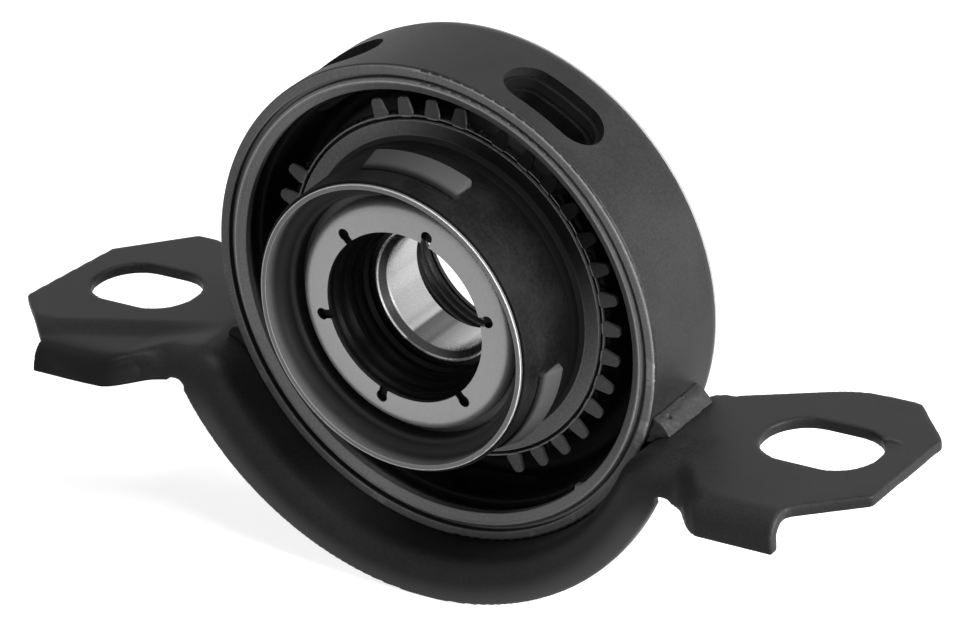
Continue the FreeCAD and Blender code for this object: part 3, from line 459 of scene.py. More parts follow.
def rubber(name, colours, roughness, bloom, specular=0.06):
    """Moulded black rubber with a faint dusty bloom."""
    finish = Finish(name, roughness, specular=specular)
    grain = finish.use(grain_group(), grain_size=1100.0, patch_size=90.0, patchiness=0.6)
    specks = finish.use(speck_group(), spacing=420.0, amount=0.06)
    light = [a + (b - a) * bloom for a, b in zip(colours.rubber, colours.rubber_light)]
    finish.set("Base Color", finish.mix(grain["Value"], colours.rubber, light))
    finish.set("Roughness", finish.value(grain["Value"], roughness - 0.06, roughness + 0.1))
    finish.bump(grain["Height"], 0.06 * MM, 0.4)
    return finish.tint(specks["Mask"], scaled(light, 2.5))


def sheet_steel(name, tint, roughness, metallic, turned=0.0, patch=0.35, contrast=0.15, specular=0.5):
    """Pressed or turned steel: fine lines round the shaft and slow patches."""
    finish = Finish(name, roughness, metallic, specular)
    grain = finish.use(grain_group(), grain_size=1500.0, patch_size=70.0, patchiness=patch)
    light = [min(1.0, part) for part in scaled(tint, 1.0 + contrast)]
    finish.set("Base Color", finish.mix(grain["Value"], scaled(tint, 1.0 - contrast), light))
    finish.set("Roughness", finish.value(grain["Value"], roughness - 0.05, roughness + 0.05))
    if turned:
        finish.bump(finish.noise(finish.polar()["Unrolled"], 2600.0, 2.0, 0.5), 0.02 * MM, turned)
    finish.bump(grain["Height"], 0.02 * MM, 0.2)
    return finish


def weld_metal(name, colours):
    """Weld under thin paint: scale and a few bare spots."""
    finish = Finish(name, roughness=0.55, specular=0.2)
    grain = finish.use(grain_group(), grain_size=900.0, patch_size=300.0, patchiness=0.5)
    specks = finish.use(speck_group(), spacing=500.0, amount=0.08)
    finish.set("Base Color", finish.mix(specks["Mask"], colours.paint_light, colours.bare))
    finish.bump(grain["Height"], 0.15 * MM, 0.4)
    return finish


@functools.cache
def material_for(slot_name):
    """The material of a record slot, built the first time that it is asked for."""
    sizes = bpy.context.scene.bearing_sizes
    colours = bpy.context.scene.bearing_colours
    # The last of these is the share of colour kept where the insides of pressed pieces get painted shade.
    ring_crest, front, shade_share = 56.6 * MM, sizes.housing_front, 0.04
    makers = {
        "housing_paint": lambda: black_paint("ring paint", colours).worn_rim(colours, sizes),
        # Strap: painted sheen on the apron, and painted shade on the left ear's rolled front.
        "bracket_paint": lambda: black_paint("strap paint", colours).painted_apron_sheen_and_shade(colours, sizes),
        "weld_paint": lambda: weld_metal("weld", colours),
        # Inner ring: painted highlight along the lip crest, and painted shade deeper than the housing's
        # front.
        "ring_steel": lambda: sheet_steel(
            "inner ring steel", colours.inner_ring, 0.45, 0.3, patch=0.2
        ).painted_edge_highlight(ring_crest, colours.bare, -sizes.bearing_rise).shaded_depth(
            front + 2.5 * MM, front + 6.0 * MM, scaled(colours.inner_ring, shade_share)
        ),
        # Cushion: painted sheen on the raised pads.
        "cushion_rubber": lambda: rubber("cushion rubber", colours, 0.5, 0.8).painted_pad_sheen(colours, sizes),
        # Flange: painted shadow on the upper right, painted highlight along its edge, and painted shade
        # in the groove by the collar.
        "flange_steel": lambda: sheet_steel(
            "flange steel", colours.flange, 0.55, 0.1, turned=0.2, patch=0.1, specular=0.15
        ).painted_shadow_sector(scaled(colours.flange, 0.02)).painted_edge_highlight(sizes.flange_edge, colours.bare).painted_dark_band(
            sizes.collar_radius - 1.0 * MM, sizes.collar_radius + 1.4 * MM, 0.008
        ),
        # Toothed ring: painted shadow on the upper right, painted shade behind the finger faces and in
        # the gap by the flange, and a painted highlight by the root.
        "toothed_steel": lambda: sheet_steel(
            "toothed steel", colours.plate, 0.6, 0.1, patch=0.15, specular=0.15
        ).painted_shadow_sector((0.006, 0.006, 0.006), 50.0).shaded_depth(
            sizes.tooth_front + 0.08 * MM, sizes.tooth_front + 0.3 * MM, scaled(colours.plate, shade_share)
        ).painted_dark_band(sizes.flange_edge, sizes.tooth_root - 0.1 * MM, 0.004).painted_edge_highlight(
            sizes.tooth_root + 0.3 * MM, colours.bare
        ),
        # Carrier: painted shade inside the dust cup, and painted highlights on its cut rim.
        "carrier_steel": lambda: sheet_steel(
            "carrier steel", colours.carrier, 0.6, 0.0, turned=0.2, patch=0.15, specular=0.25
        ).shaded_depth(
            sizes.cup_front + 0.3 * MM, sizes.cup_front + 4.8 * MM, scaled(colours.carrier, shade_share)
        ).bare_rim_and_highlights(sizes, colours.bare),
        # Races: a painted dark reflection low in the bore, and two painted dark reflection bands.
        "race_steel": lambda: sheet_steel(
            "race steel", colours.race, 0.3, 0.8, turned=0.15, patch=0.05, contrast=0.06
        ).painted_bore_reflection(colours.race, 0.95).painted_dark_band(15.3 * MM, 16.7 * MM, 0.06).painted_dark_band(
            17.3 * MM, 21.5 * MM, 0.03
        ),
        "ball_steel": lambda: sheet_steel("ball steel", colours.ball, 0.12, 1.0, patch=0.1),
        "cage_steel": lambda: sheet_steel("cage steel", colours.cage, 0.35, 1.0),
        "seal_rubber": lambda: rubber("race seal rubber", colours, 0.4, 0.3),
        # Seal case: painted shade in the keyhole notches and behind the shoulder.
        "case_steel": lambda: sheet_steel(
            "seal case steel", colours.case, 0.42, 0.4, turned=0.1, patch=0.1, contrast=0.05
        ).painted_case_shade(sizes),
        "lip_rubber": lambda: rubber("seal lip rubber", colours, 0.34, 0.0, 0.07),
    }
    return makers[slot_name]().material


def dress(obj, slot_name):
    """Gives every slot of an object the material of a record slot."""
    slots = obj.data.materials
    if not slots:
        slots.append(material_for(slot_name))
    for index in range(len(slots)):
        slots[index] = material_for(slot_name)


def settle(obj, slot_name, node):
    """Finishes a new fixed piece: its material, its body, and the node that it stands for."""
    dress(obj, slot_name)
    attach(obj, FIXED)
    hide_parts(node)


# Mesh helpers


def new_object(name, mesh):
    obj = bpy.data.objects.new(name, mesh)
    bpy.context.scene.collection.objects.link(obj)
    return obj


def object_from(name, shape):
    """Plain object from a bmesh, which is freed."""
    mesh = bpy.data.meshes.new(name)
    shape.to_mesh(mesh)
    shape.free()
    return new_object(name, mesh)


def baked(obj):
    """The object's evaluated mesh as a plain object, in place of the first one."""
    bpy.context.view_layer.update()
    graph = bpy.context.evaluated_depsgraph_get()
    mesh = bpy.data.meshes.new_from_object(obj.evaluated_get(graph))
    name = obj.name
    bpy.data.objects.remove(obj)
    return new_object(name, mesh)


def shade(obj, degrees=35.0):
    mesh = obj.data
    mesh.shade_smooth()
    mesh.set_sharp_from_angle(angle=math.radians(degrees))
    return obj


def fillet(corners, steps=6):
    """Profile through corners (radius, along[, rounding]) in millimetres, with round corners."""
    points = []
    count = len(corners)
    for index, corner in enumerate(corners):
        here = Vector(corner[:2])
        if len(corner) < 3 or corner[2] <= 0:
            points.append(here)
            continue
        back = (Vector(corners[index - 1][:2]) - here).normalized()
        ahead = (Vector(corners[(index + 1) % count][:2]) - here).normalized()
        half = back.angle(ahead) / 2
        reach = corner[2] / math.tan(half)
        centre = here + (back + ahead).normalized() * (corner[2] / math.sin(half))
        start = here + back * reach - centre
        end = here + ahead * reach - centre
        sweep = start.angle_signed(end)
        for step in range(steps + 1):
            spoke = start.copy()
            spoke.rotate(Matrix.Rotation(-sweep * step / steps, 2))
            points.append(centre + spoke)
    return points


def bridge(shape, here, after):
    """Faces between two closed rows of vertices."""
    count = len(here)
    for spot in range(count):
        beside = (spot + 1) % count
        shape.faces.new((here[spot], here[beside], after[beside], after[spot]))


def lathe(name, points, segments=256, drop=None, wobble=None):
    """Closed profile (radius, along) in millimetres turned round the shaft.

    drop gives the axis height for a radius, and wobble an offset of the radius.
    """
    shape = bmesh.new()
    rows = []
    for index in range(segments):
        turn = 2 * math.pi * index / segments
        across, up = math.cos(turn), math.sin(turn)
        row = []
        for point in points:
            radius = point.x + (wobble(point, turn) if wobble else 0.0)
            height = drop(point.x) if drop else 0.0
            row.append(shape.verts.new(Vector((radius * across, point.y, radius * up + height)) * MM))
        rows.append(row)
    for index in range(segments):
        bridge(shape, rows[index], rows[(index + 1) % segments])
    bmesh.ops.remove_doubles(shape, verts=shape.verts, dist=1e-7)
    bmesh.ops.recalc_face_normals(shape, faces=shape.faces)
    return shade(object_from(name, shape))


def merged_copy(name, node):
    """Copy of a CAD node with its loose triangles joined."""
    mesh = NODES[node].data.copy()
    mesh.name = name
    layer = mesh.attributes.get("custom_normal")
    if layer:
        mesh.attributes.remove(layer)
    shape = bmesh.new()
    shape.from_mesh(mesh)
    bmesh.ops.remove_doubles(shape, verts=shape.verts, dist=2e-6)
    shape.to_mesh(mesh)
    shape.free()
    return new_object(name, mesh)


def softened(name, node, cell):
    """Copy of a CAD node with its edges softened, as pressed and painted sheet has them."""
    obj = merged_copy(name, node)
    remesh = obj.modifiers.new("Remesh", "REMESH")
    remesh.mode = "VOXEL"
    remesh.voxel_size = cell
    remesh.use_smooth_shade = True
    smooth = obj.modifiers.new("Smooth", "SMOOTH")
    smooth.factor = 0.5
    smooth.iterations = 2
    return baked(obj)


def window_cutter(name, degrees, rise):
    """Round-ended prism that points outwards from the ring's axis, a rise below the shaft's."""
    start, height, middle, steps = 49.5, 12.0, 2.1, 12
    half_length, half_width = 11.3, 4.7
    run = half_length - half_width
    shape = bmesh.new()
    edge = []
    for side in (1, -1):
        for step in range(steps + 1):
            turn = math.radians(-90 + 180 * step / steps)
            edge.append((side * (run + half_width * math.cos(turn)), side * half_width * math.sin(turn)))
    lower = [shape.verts.new((x, y + middle, start)) for x, y in edge]
    upper = [shape.verts.new((x, y + middle, start + height)) for x, y in edge]
    shape.faces.new(lower)
    shape.faces.new(upper)
    bridge(shape, lower, upper)
    bmesh.ops.recalc_face_normals(shape, faces=shape.faces)
    turn = Matrix.Rotation(math.radians(90 - degrees), 4, "Y")
    bmesh.ops.transform(shape, matrix=turn, verts=shape.verts)
    obj = object_from(name, shape)
    obj.data.transform(Matrix.Scale(MM, 4))
    obj.data.transform(Matrix.Translation((0.0, 0.0, -rise)))
    return obj


def cut(obj, cutters):
    for index, cutter in enumerate(cutters):
        change = obj.modifiers.new(f"Cut {index}", "BOOLEAN")
        change.operation = "DIFFERENCE"
        change.solver = "EXACT"
        change.object = cutter
    result = baked(obj)
    for cutter in cutters:
        bpy.data.objects.remove(cutter)
    return result


def joined(name, objects, degrees=35.0):
    shape = bmesh.new()
    for obj in objects:
        shape.from_mesh(obj.data)
        bpy.data.objects.remove(obj)
    return shade(object_from(name, shape), degrees)


# Geometry Nodes trees


def run_tree(name, tree, values):
    """Makes a plain mesh object from a tree, with its inputs set by name."""
    obj = new_object(name, bpy.data.meshes.new(name))
    change = obj.modifiers.new("Nodes", "NODES")
    change.node_group = tree
    for item in tree.interface.items_tree:
        if item.in_out == "INPUT" and item.name in values:
            change[item.identifier] = values[item.name]
    return baked(obj)


class GeometryGroup(Group):
    """A Geometry Nodes tree that puts copies of one piece on points."""

    def __init__(self, name, inputs):
        super().__init__(name, inputs, [("Geometry", "Geometry")], "GeometryNodeTree")

    def spread(self, points, piece, **inputs):
        """Puts the piece on the points as real mesh with the tree's material, and ends the tree."""
        placed = self.add("GeometryNodeInstanceOnPoints", {"Points": points, "Instance": piece, **inputs})
        real = self.add("GeometryNodeRealizeInstances", {0: placed.outputs[0]})
        painted = self.add("GeometryNodeSetMaterial", {
            "Geometry": real.outputs[0], "Material": self.enter["Material"],
        })
        self.give("Geometry", painted.outputs[0])
        return self.tree


def make_finger_tree():
    """Row of rounded radial fingers on an arc."""
    group = GeometryGroup("Radial fingers", [
        ("Root radius", "Float", 0.0432), ("Tip radius", "Float", 0.0482),
        ("Root half width", "Float", 0.00215), ("Tip half width", "Float", 0.0012),
        ("Tip rounding", "Float", 0.0011), ("Thickness", "Float", 0.0008), ("Along", "Float", -0.0037),
        ("First angle", "Float", 0.0), ("Pitch", "Float", 0.1676), ("Count", "Int", 4),
        ("Material", "Material"),
    ])
    put = group.enter
    height = group.math("SUBTRACT", put["Tip radius"], put["Root radius"])
    quad = group.add("GeometryNodeCurvePrimitiveQuadrilateral", {
        "Bottom Width": group.product(put["Root half width"], 2.0),
        "Top Width": group.product(put["Tip half width"], 2.0),
        "Height": height,
        "Offset": 0.0,
    }, mode="TRAPEZOID")
    rounded = group.add("GeometryNodeFilletCurve", {
        "Curve": quad.outputs[0], "Radius": put["Tip rounding"], "Count": 6, "Limit Radius": True,
    }, mode="POLY")
    filled = group.add("GeometryNodeFillCurve", {"Curve": rounded.outputs[0]}, mode="NGONS").outputs[0]
    raised = group.add("GeometryNodeExtrudeMesh", {
        "Mesh": filled, "Offset Scale": put["Thickness"], "Individual": False,
    }, mode="FACES")
    under = group.add("GeometryNodeFlipFaces", {"Mesh": filled})
    both = group.add("GeometryNodeJoinGeometry", {0: raised.outputs["Mesh"]})
    group.feed(both.inputs[0], under.outputs[0])
    closed = group.add("GeometryNodeMergeByDistance", {"Geometry": both.outputs[0], "Distance": 1e-6})
    centre = group.math("SUBTRACT", put["Tip radius"], group.product(height, 0.5))
    finger = group.add("GeometryNodeTransform", {
        "Geometry": closed.outputs[0], "Translation": group.combine(0.0, centre),
    })
    dots = group.add("GeometryNodePoints", {
        "Count": put["Count"], "Position": group.combine(0.0, put["Along"]),
    })
    index = group.add("GeometryNodeInputIndex").outputs[0]
    turn = group.math("ADD", group.product(index, put["Pitch"]), put["First angle"])
    level = group.math("ADD", group.product(turn, -1.0), math.pi / 2)
    return group.spread(
        dots.outputs[0], finger.outputs[0], Rotation=group.combine(math.pi / 2, level)
    )


def make_flash_tree():
    """Small lumps of moulding flash scattered on an arc, from a fixed seed."""
    group = GeometryGroup("Moulding flash", [
        ("Radius", "Float", 0.0441), ("Spread", "Float", 0.0006), ("Along", "Float", -0.0034),
        ("First angle", "Float", 0.0), ("Last angle", "Float", 1.0),
        ("Smallest", "Float", 0.0003), ("Largest", "Float", 0.0008),
        ("Count", "Int", 20), ("Seed", "Int", 3), ("Material", "Material"),
    ])
    put = group.enter

    def random_value(low, high, offset):
        """Random number; the sockets for a single number are inputs 2 and 3 and output 1."""
        inputs = {2: low, 3: high, "Seed": group.math("ADD", put["Seed"], offset)}
        return group.add("FunctionNodeRandomValue", inputs, data_type="FLOAT").outputs[1]

    turn = random_value(put["First angle"], put["Last angle"], 1)
    swing = random_value(-1.0, 1.0, 2)
    radius = group.math("ADD", put["Radius"], group.product(swing, put["Spread"]))
    place = group.combine(
        group.product(radius, group.math("COSINE", turn)),
        put["Along"],
        group.product(radius, group.math("SINE", turn)),
    )
    dots = group.add("GeometryNodePoints", {"Count": put["Count"]})
    moved = group.add("GeometryNodeSetPosition", {"Geometry": dots.outputs[0], "Position": place})
    lump = group.add("GeometryNodeMeshIcoSphere", {"Radius": 1.0, "Subdivisions": 2})
    size = group.combine(*(
        random_value(put["Smallest"], put["Largest"], offset) for offset in (3, 4, 5)
    ))
    return group.spread(moved.outputs[0], lump.outputs[0], Scale=size)


# Operators


class BuildStage(bpy.types.Operator):
    """Floor, backdrop, soft studio light and the camera"""

    bl_idname = "centre_bearing.stage"
    bl_label = "Stage"

    def execute(self, context):
        scene = context.scene
        scene.view_settings.view_transform = "Standard"
        self.world(scene)
        self.floor()
        self.lamps(scene)
        self.camera(scene)
        return {"FINISHED"}

    def seen_masks(self, nodes):
        """1 for what the camera sees directly or through glass, and the same with reflections."""
        path = nodes.add("ShaderNodeLightPath").outputs
        direct = nodes.math("MAXIMUM", path["Is Camera Ray"], path["Is Transmission Ray"])
        return direct, nodes.math("MAXIMUM", direct, path["Is Glossy Ray"])

    def world(self, scene):
        """White to the eye and in reflections, but a weak light on the object."""
        light_strength = 0.16
        world = bpy.data.worlds.new("Studio")
        scene.world = world
        nodes = cleared(world)
        seen = nodes.add("ShaderNodeBackground", {"Color": WHITE, "Strength": 1.0})
        lit = nodes.add("ShaderNodeBackground", {"Color": WHITE, "Strength": light_strength})
        mask = self.seen_masks(nodes)[1]
        mix = nodes.add("ShaderNodeMixShader", {0: mask, 1: lit.outputs[0], 2: seen.outputs[0]})
        nodes.add("ShaderNodeOutputWorld", {0: mix.outputs[0]})

    def floor(self):
        """White floor that keeps the object's shadow and throws little light back."""
        side, low = 3.0, CAD_BOX[0][2]
        shown, thrown, glow_strength = (0.8, 0.8, 0.8, 1.0), (0.3, 0.3, 0.3, 1.0), 0.8
        shape = bmesh.new()
        corners = ((-1, -1), (1, -1), (1, 1), (-1, 1))
        shape.faces.new([shape.verts.new((x * side, y * side, low)) for x, y in corners])
        floor = object_from("floor", shape)
        material = bpy.data.materials.new("pale floor")
        nodes = cleared(material)
        direct, seen = self.seen_masks(nodes)
        shadowed = nodes.add("ShaderNodeBsdfDiffuse", {"Color": shown})
        bounce = nodes.add("ShaderNodeBsdfDiffuse", {"Color": thrown})
        matt = nodes.add("ShaderNodeMixShader", {0: direct, 1: bounce.outputs[0], 2: shadowed.outputs[0]})
        glow = nodes.add("ShaderNodeEmission", {
            "Color": WHITE, "Strength": nodes.product(seen, glow_strength),
        })
        both = nodes.add("ShaderNodeAddShader", {0: matt.outputs[0], 1: glow.outputs[0]})
        nodes.add("ShaderNodeOutputMaterial", {0: both.outputs[0]})
        floor.data.materials.append(material)

    def lamps(self, scene):
        """Square softboxes that face the origin: name, place, side and power."""
        plan = (
            ("side softbox", (0.95, 0.05, 0.1), 0.7, 31.0),
            ("top softbox", (0.3, -0.1, 0.95), 0.5, 5.5),
            ("front softbox", (0.8, -0.8, 0.0), 0.4, 1.0),
        )
        for name, place, side, power in plan:
            lamp = bpy.data.lights.new(name, "AREA")
            lamp.shape = "SQUARE"
            lamp.size = side
            lamp.energy = power
            obj = bpy.data.objects.new(name, lamp)
            obj.location = place
            obj.rotation_euler = Vector(place).to_track_quat("Z", "Y").to_euler()
            scene.collection.objects.link(obj)

    def camera(self, scene):
        """Camera of the photograph, as worked out from its ellipses."""
        azimuth, elevation, roll = (math.radians(part) for part in (35.916, 26.193, -4.868))
        distance = 1.0981
        target = Vector((0.0, -10.5, -2.3)) * MM
        image_width, focal_pixels, shift_pixels = 960.0, 4703.0, (48.56, -12.86)
        back = Vector((
            math.sin(azimuth) * math.cos(elevation),
            -math.cos(azimuth) * math.cos(elevation),
            math.sin(elevation),
        ))
        right = Vector((math.cos(azimuth), math.sin(azimuth), 0.0))
        up = back.cross(right)
        turned_right = right * math.cos(roll) + up * math.sin(roll)
        turned_up = up * math.cos(roll) - right * math.sin(roll)
        data = bpy.data.cameras.new("camera")
        data.sensor_width = 36.0
        data.sensor_fit = "HORIZONTAL"
        data.lens = focal_pixels * data.sensor_width / image_width
        data.shift_x, data.shift_y = (part / image_width for part in shift_pixels)
        data.clip_start = 0.05
        camera = bpy.data.objects.new("camera", data)
        matrix = Matrix((turned_right, turned_up, back)).transposed().to_4x4()
        matrix.translation = target + back * distance
        camera.matrix_world = matrix
        scene.collection.objects.link(camera)
        scene.camera = camera


class BuildPaintedSteel(bpy.types.Operator):
    """Pressed ring, mounting strap and weld beads under satin black paint"""

    bl_idname = "centre_bearing.painted_steel"
    bl_label = "Painted steel"

    def execute(self, context):
        dress(NODES["housing_ring"], "housing_paint")
        strap = softened("strap", "mounting_bracket", context.scene.bearing_sizes.remesh_size)
        for vertex in strap.data.vertices:
            place = vertex.co / MM
            self.fold(vertex, *place)
            self.hollow(vertex, *place)
            self.burr(vertex, *place)
        settle(strap, "bracket_paint", "mounting_bracket")
        for side in ("right", "left"):
            node = f"weld_bead_{side}"
            bead = softened(f"weld_{side}", node, 0.35 * MM)
            self.roughen(bead)
            settle(bead, "weld_paint", node)
        return {"FINISHED"}

    def fold(self, vertex, across, along, up):
        """Rolls the left ear's front edge down, more the further it is past a slanted line."""
        depth, run, inner_end, fade_across, floor, fade_up = 1.8, 7.0, -64.0, 16.0, -31.0, 5.0
        line = -19.4 + 0.4 * (max(across, -106.0) + 101.9)
        if across < inner_end and along < line and up > floor:
            step = min(1.0, (line - along) / run)
            fade = min(1.0, (up - floor) / fade_up) * min(1.0, (inner_end - across) / fade_across)
            vertex.co.z -= depth * step * step * (3.0 - 2.0 * step) * fade * MM

    def hollow(self, vertex, across, along, up):
        """Soft hollows in that edge: middle (across, up), half widths and depth."""
        hollows = (
            ((-79.0, -27.0), (9.0, 3.4), 2.4),
            ((-100.5, -27.5), (5.0, 2.6), 0.9),
        )
        inner_end, front, fade_along = -62.0, -24.0, 4.0
        if across < inner_end and along < front:
            share = min(1.0, (front - along) / fade_along)
            push = sum(
                depth * math.exp(-((across - x) / wide) ** 2 - ((up - z) / high) ** 2)
                for (x, z), (wide, high), depth in hollows
            )
            vertex.co.y += share * push * MM

    def burr(self, vertex, across, along, up):
        """Small burr on top of the right ear, by its hole."""
        (x, y), (wide, deep), height = (109.8, 10.4), (1.9, 0.5), 0.5
        if across > 104.0 and vertex.normal.z > 0.7:
            vertex.co.z += height * math.exp(-((across - x) / wide) ** 2 - ((along - y) / deep) ** 2) * MM

    def roughen(self, bead):
        """Flat lumps and scale on the bead, with one small pore near its front end."""
        pore, pore_radius, pore_depth = Vector((60.9, -5.6, -19.6)) * MM, 0.55 * MM, 0.9
        for vertex in bead.data.vertices:
            place = vertex.co
            lump = noise.noise(place * 330.0) * 0.3 + noise.noise(place * 1100.0) * 0.14
            dip = pore_depth * math.exp(-((place - pore).length / pore_radius) ** 2)
            vertex.co = place + vertex.normal * (lump - dip) * MM


class BuildCushion(bpy.types.Operator):
    """Rubber cushion with its collar, web, raised pads, windows and moulding flash"""

    bl_idname = "centre_bearing.cushion"
    bl_label = "Rubber cushion"

    def execute(self, context):
        sizes = context.scene.bearing_sizes
        rise = sizes.bearing_rise / MM
        web_start, web_run = 45.0, 5.0

        def drop(radius):
            """The collar is round the bearing's axis, and the outside round the housing's."""
            return -rise * min(1.0, max(0.0, (radius - web_start) / web_run))

        collar = sizes.collar_radius / MM
        outside = sizes.cushion_radius / MM
        profile = fillet([
            (32.2, -21.0), (36.1, -21.0, 3.4), (36.1, -27.2), (36.9, -27.2, 0.35),
            (collar, -8.1, 0.2), (36.5, -8.1), (36.5, -2.9), (44.4, -2.9, 1.2),
            (46.2, 9.0, 2.4), (51.4, 9.6, 2.4), (53.2, -4.0, 0.9),
            (outside, -4.0, 0.4), (outside, 16.6, 0.6), (46.0, 15.2, 3.2), (40.4, 2.4, 3.0),
            (36.6, 2.4, 0.6), (36.6, 16.6, 0.8), (32.2, 16.6),
        ])
        body = cut(lathe("cushion_web", profile, 288, drop), [
            window_cutter(f"window_{index}", degrees, sizes.bearing_rise)
            for index, degrees in enumerate((60.0, 120.0, -84.0))
        ])
        pads = [
            self.pad(f"pad_{index}", middle, collar) for index, middle in enumerate((84.0, 204.0, 328.5))
        ]
        flash = run_tree("flash", make_flash_tree(), {
            "First angle": math.radians(-78.0),
            "Last angle": math.radians(158.0),
            "Count": 70,
            "Seed": 5,
            "Material": material_for("cushion_rubber"),
        })
        whole = joined("cushion", [body, *pads, flash], 40.0)
        settle(whole, "cushion_rubber", "rubber_cushion")
        return {"FINISHED"}

    def pad(self, name, middle, collar):
        """Raised arc pad on the collar, thin at the front and thick at the rear, with soft corners."""
        span, across, along = 41.5, 48, 12
        front, rear = -21.2, -13.7
        thin, rise, sunk = 0.25, 2.15, 0.25
        soft_across, soft_along = 1.6, 1.2
        shape = bmesh.new()
        rows = []
        for i in range(across + 1):
            share = i / across
            turn = math.radians(middle - span / 2 + span * share)
            side = min(1.0, min(share, 1 - share) * across / soft_across)
            row = []
            for j in range(along + 1):
                part = j / along
                end = min(1.0, (1 - part) * along / soft_along)
                lift = (thin + rise * part) * math.sin(math.pi / 2 * min(side, end)) ** 0.7
                radius = collar - sunk + lift
                y = front + (rear - front) * part
                row.append(shape.verts.new((
                    radius * math.cos(turn) * MM, y * MM, radius * math.sin(turn) * MM,
                )))
            rows.append(row)
        for i in range(across):
            for j in range(along):
                shape.faces.new((rows[i][j], rows[i][j + 1], rows[i + 1][j + 1], rows[i + 1][j]))
        return object_from(name, shape)


class BuildRings(bpy.types.Operator):
    """Inner ring, flange ring and toothed ring"""

    bl_idname = "centre_bearing.rings"
    bl_label = "Pressed rings"

    def execute(self, context):
        sizes = context.scene.bearing_sizes
        self.inner_ring(sizes)
        collar, edge = sizes.collar_radius / MM, sizes.flange_edge / MM
        front, root = sizes.tooth_front / MM, sizes.tooth_root / MM
        bead, seat = 0.55, 36.5
        flange = lathe("flange", fillet([
            (collar - 0.8, -8.1), (collar, -8.1), (collar + 0.2, -5.2, 0.3), (collar + 1.6, -4.5, 0.5),
            (edge, -4.5, 0.15), (edge, front), (collar - 0.8, front),
        ]))
        settle(flange, "flange_steel", "flange_ring")
        washer = lathe("washer", fillet([
            (seat, front), (edge, front), (edge, -3.0), (root, -3.0), (root, -4.1, 0.2),
            (root + bead, -4.1, 0.2), (root + bead, -2.9), (seat, -2.9),
        ]))
        tree = make_finger_tree()
        fingers = [run_tree(f"fingers_{index}", tree, {
            "First angle": math.radians(first),
            "Count": count,
            "Pitch": sizes.tooth_pitch,
            "Along": sizes.tooth_front,
            "Root radius": sizes.tooth_root,
            "Tip radius": sizes.tooth_tip,
            "Material": material_for("toothed_steel"),
        }) for index, (first, count) in enumerate(((-69.0, 15), (80.0, 4), (151.2, 2)))]
        settle(joined("toothed_rim", [washer, *fingers]), "toothed_steel", "toothed_ring")
        return {"FINISHED"}

    def inner_ring(self, sizes):
        """Ring pressed into the housing, its rolled lip flared inwards, with a nub at the lower right."""
        rise = sizes.bearing_rise / MM
        nub, nub_height, nub_width, lip_end = math.radians(-47.8), 0.8, 0.014, 54.6

        def wobble(point, turn):
            away = (turn + math.pi) % (2 * math.pi) - math.pi - nub
            return -nub_height * math.exp(-(away / nub_width) ** 2) if point.x < lip_end else 0.0

        profile = fillet([
            (54.2, -9.1, 0.3), (56.2, -10.15, 0.25), (56.5, -10.1), (56.5, -6.0), (55.6, -5.0),
            (54.2, -7.4, 0.5),
        ])
        lip = lathe("ring_lip", profile, 384, drop=lambda radius: -rise, wobble=wobble)
        ring = joined("inner_ring", [merged_copy("ring_core", "cushion_outer_ring"), lip])
        settle(ring, "ring_steel", "cushion_outer_ring")


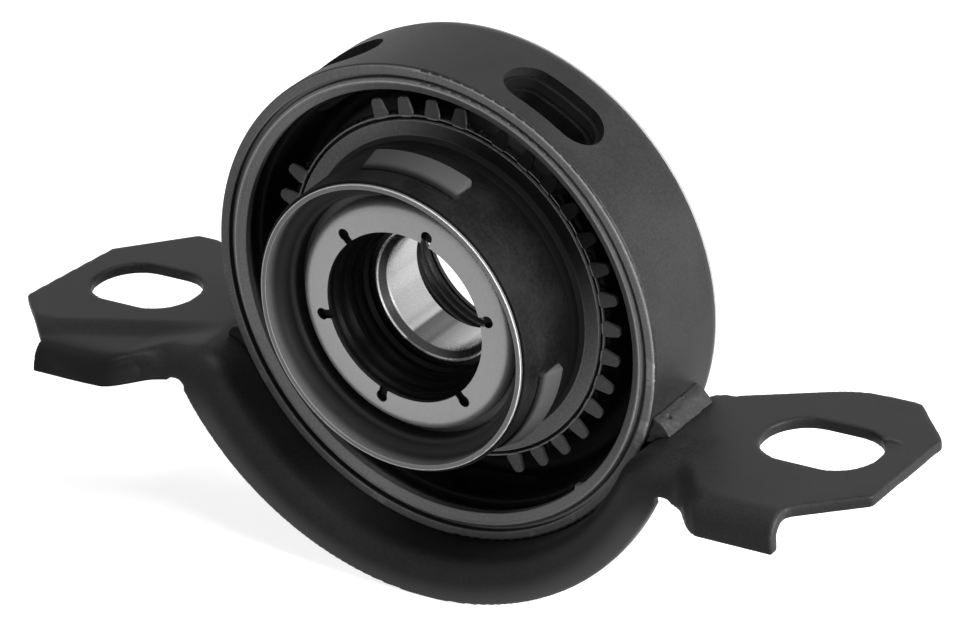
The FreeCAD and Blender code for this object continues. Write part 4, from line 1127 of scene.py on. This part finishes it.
class BuildSeals(bpy.types.Operator):
    """Dust seals with their ridged lips, and the thin seals of the ball bearing"""

    bl_idname = "centre_bearing.seals"
    bl_label = "Seals"

    def execute(self, context):
        lip = context.scene.bearing_sizes.lip_radius / MM
        ridges, ridge_pitch, ridge_fall = 3, 3.3, 0.8
        lip_corners = [(29.8, 8.6), (29.8, 16.5), (27.8, 16.5), (27.8, 20.5, 1.1), (21.9, 20.5, 0.3)]
        for ridge in range(ridges):
            high, back = 21.5 - ridge_fall * ridge, ridge_pitch * ridge
            lip_corners += [
                (high, 19.3 - back, 0.5), (high - 0.75, 18.2 - back, 0.7), (high - 0.3, 17.0 - back, 0.7),
            ]
        lip_corners += [(lip + 0.9, 9.9, 0.4), (lip, 9.0, 0.15), (lip, 8.6)]
        thin_corners = [
            (19.5, 6.5, 0.15), (20.3, 6.4), (20.6, 6.8, 0.2), (26.4, 6.8, 0.2), (26.8, 6.4),
            (28.0, 6.4), (28.0, 7.6), (26.6, 7.6, 0.3), (26.2, 7.3, 0.3), (20.8, 7.3, 0.3),
            (20.4, 7.6, 0.2), (19.5, 7.5, 0.15),
        ]
        plan = (
            ("lip", fillet(lip_corners), 256, "lip_rubber", "dust_seal_lip"),
            ("thin_seal", fillet(thin_corners, 3), 160, "seal_rubber", "race_seal"),
        )
        for end, side in (("front", -1), ("rear", 1)):
            dress(NODES[f"dust_seal_case_{end}"], "case_steel")
            for name, profile, segments, slot_name, node in plan:
                points = [Vector((point.x, side * point.y)) for point in profile]
                seal = lathe(f"{name}_{end}", points, segments)
                settle(seal, slot_name, f"{node}_{end}")
        return {"FINISHED"}


class BuildBearing(bpy.types.Operator):
    """Bearing carrier, races, balls and cage"""

    bl_idname = "centre_bearing.bearing"
    bl_label = "Ball bearing"

    def execute(self, context):
        plan = {
            "bearing_carrier": "carrier_steel",
            "outer_race": "race_steel",
            "inner_race": "race_steel",
            "balls": "ball_steel",
            "cage_front": "cage_steel",
            "cage_rear": "cage_steel",
            "cage_rivets": "cage_steel",
        }
        for node, slot_name in plan.items():
            dress(NODES[node], slot_name)
        return {"FINISHED"}


OPERATORS = (BuildStage, BuildPaintedSteel, BuildCushion, BuildRings, BuildSeals, BuildBearing)


class BearingPanel(bpy.types.Panel):
    bl_idname = "VIEW3D_PT_centre_bearing"
    bl_label = "Centre Bearing"
    bl_space_type = "VIEW_3D"
    bl_region_type = "UI"
    bl_category = "Centre Bearing"

    def draw(self, context):
        column = self.layout.column()
        for item in OPERATORS:
            column.operator(item.bl_idname)
        for group in (context.scene.bearing_sizes, context.scene.bearing_colours):
            for name in group.__annotations__:
                column.prop(group, name)


CLASSES = (BearingSizes, BearingColours, *OPERATORS, BearingPanel)


def register():
    for item in CLASSES:
        bpy.utils.register_class(item)
    bpy.types.Scene.bearing_sizes = bpy.props.PointerProperty(type=BearingSizes)
    bpy.types.Scene.bearing_colours = bpy.props.PointerProperty(type=BearingColours)


def unregister():
    del bpy.types.Scene.bearing_colours
    del bpy.types.Scene.bearing_sizes
    for item in reversed(CLASSES):
        bpy.utils.unregister_class(item)


def main():
    register()
    bpy.ops.centre_bearing.stage()
    bpy.ops.centre_bearing.painted_steel()
    bpy.ops.centre_bearing.cushion()
    bpy.ops.centre_bearing.rings()
    bpy.ops.centre_bearing.seals()
    bpy.ops.centre_bearing.bearing()


if __name__ == "__main__":
    main()
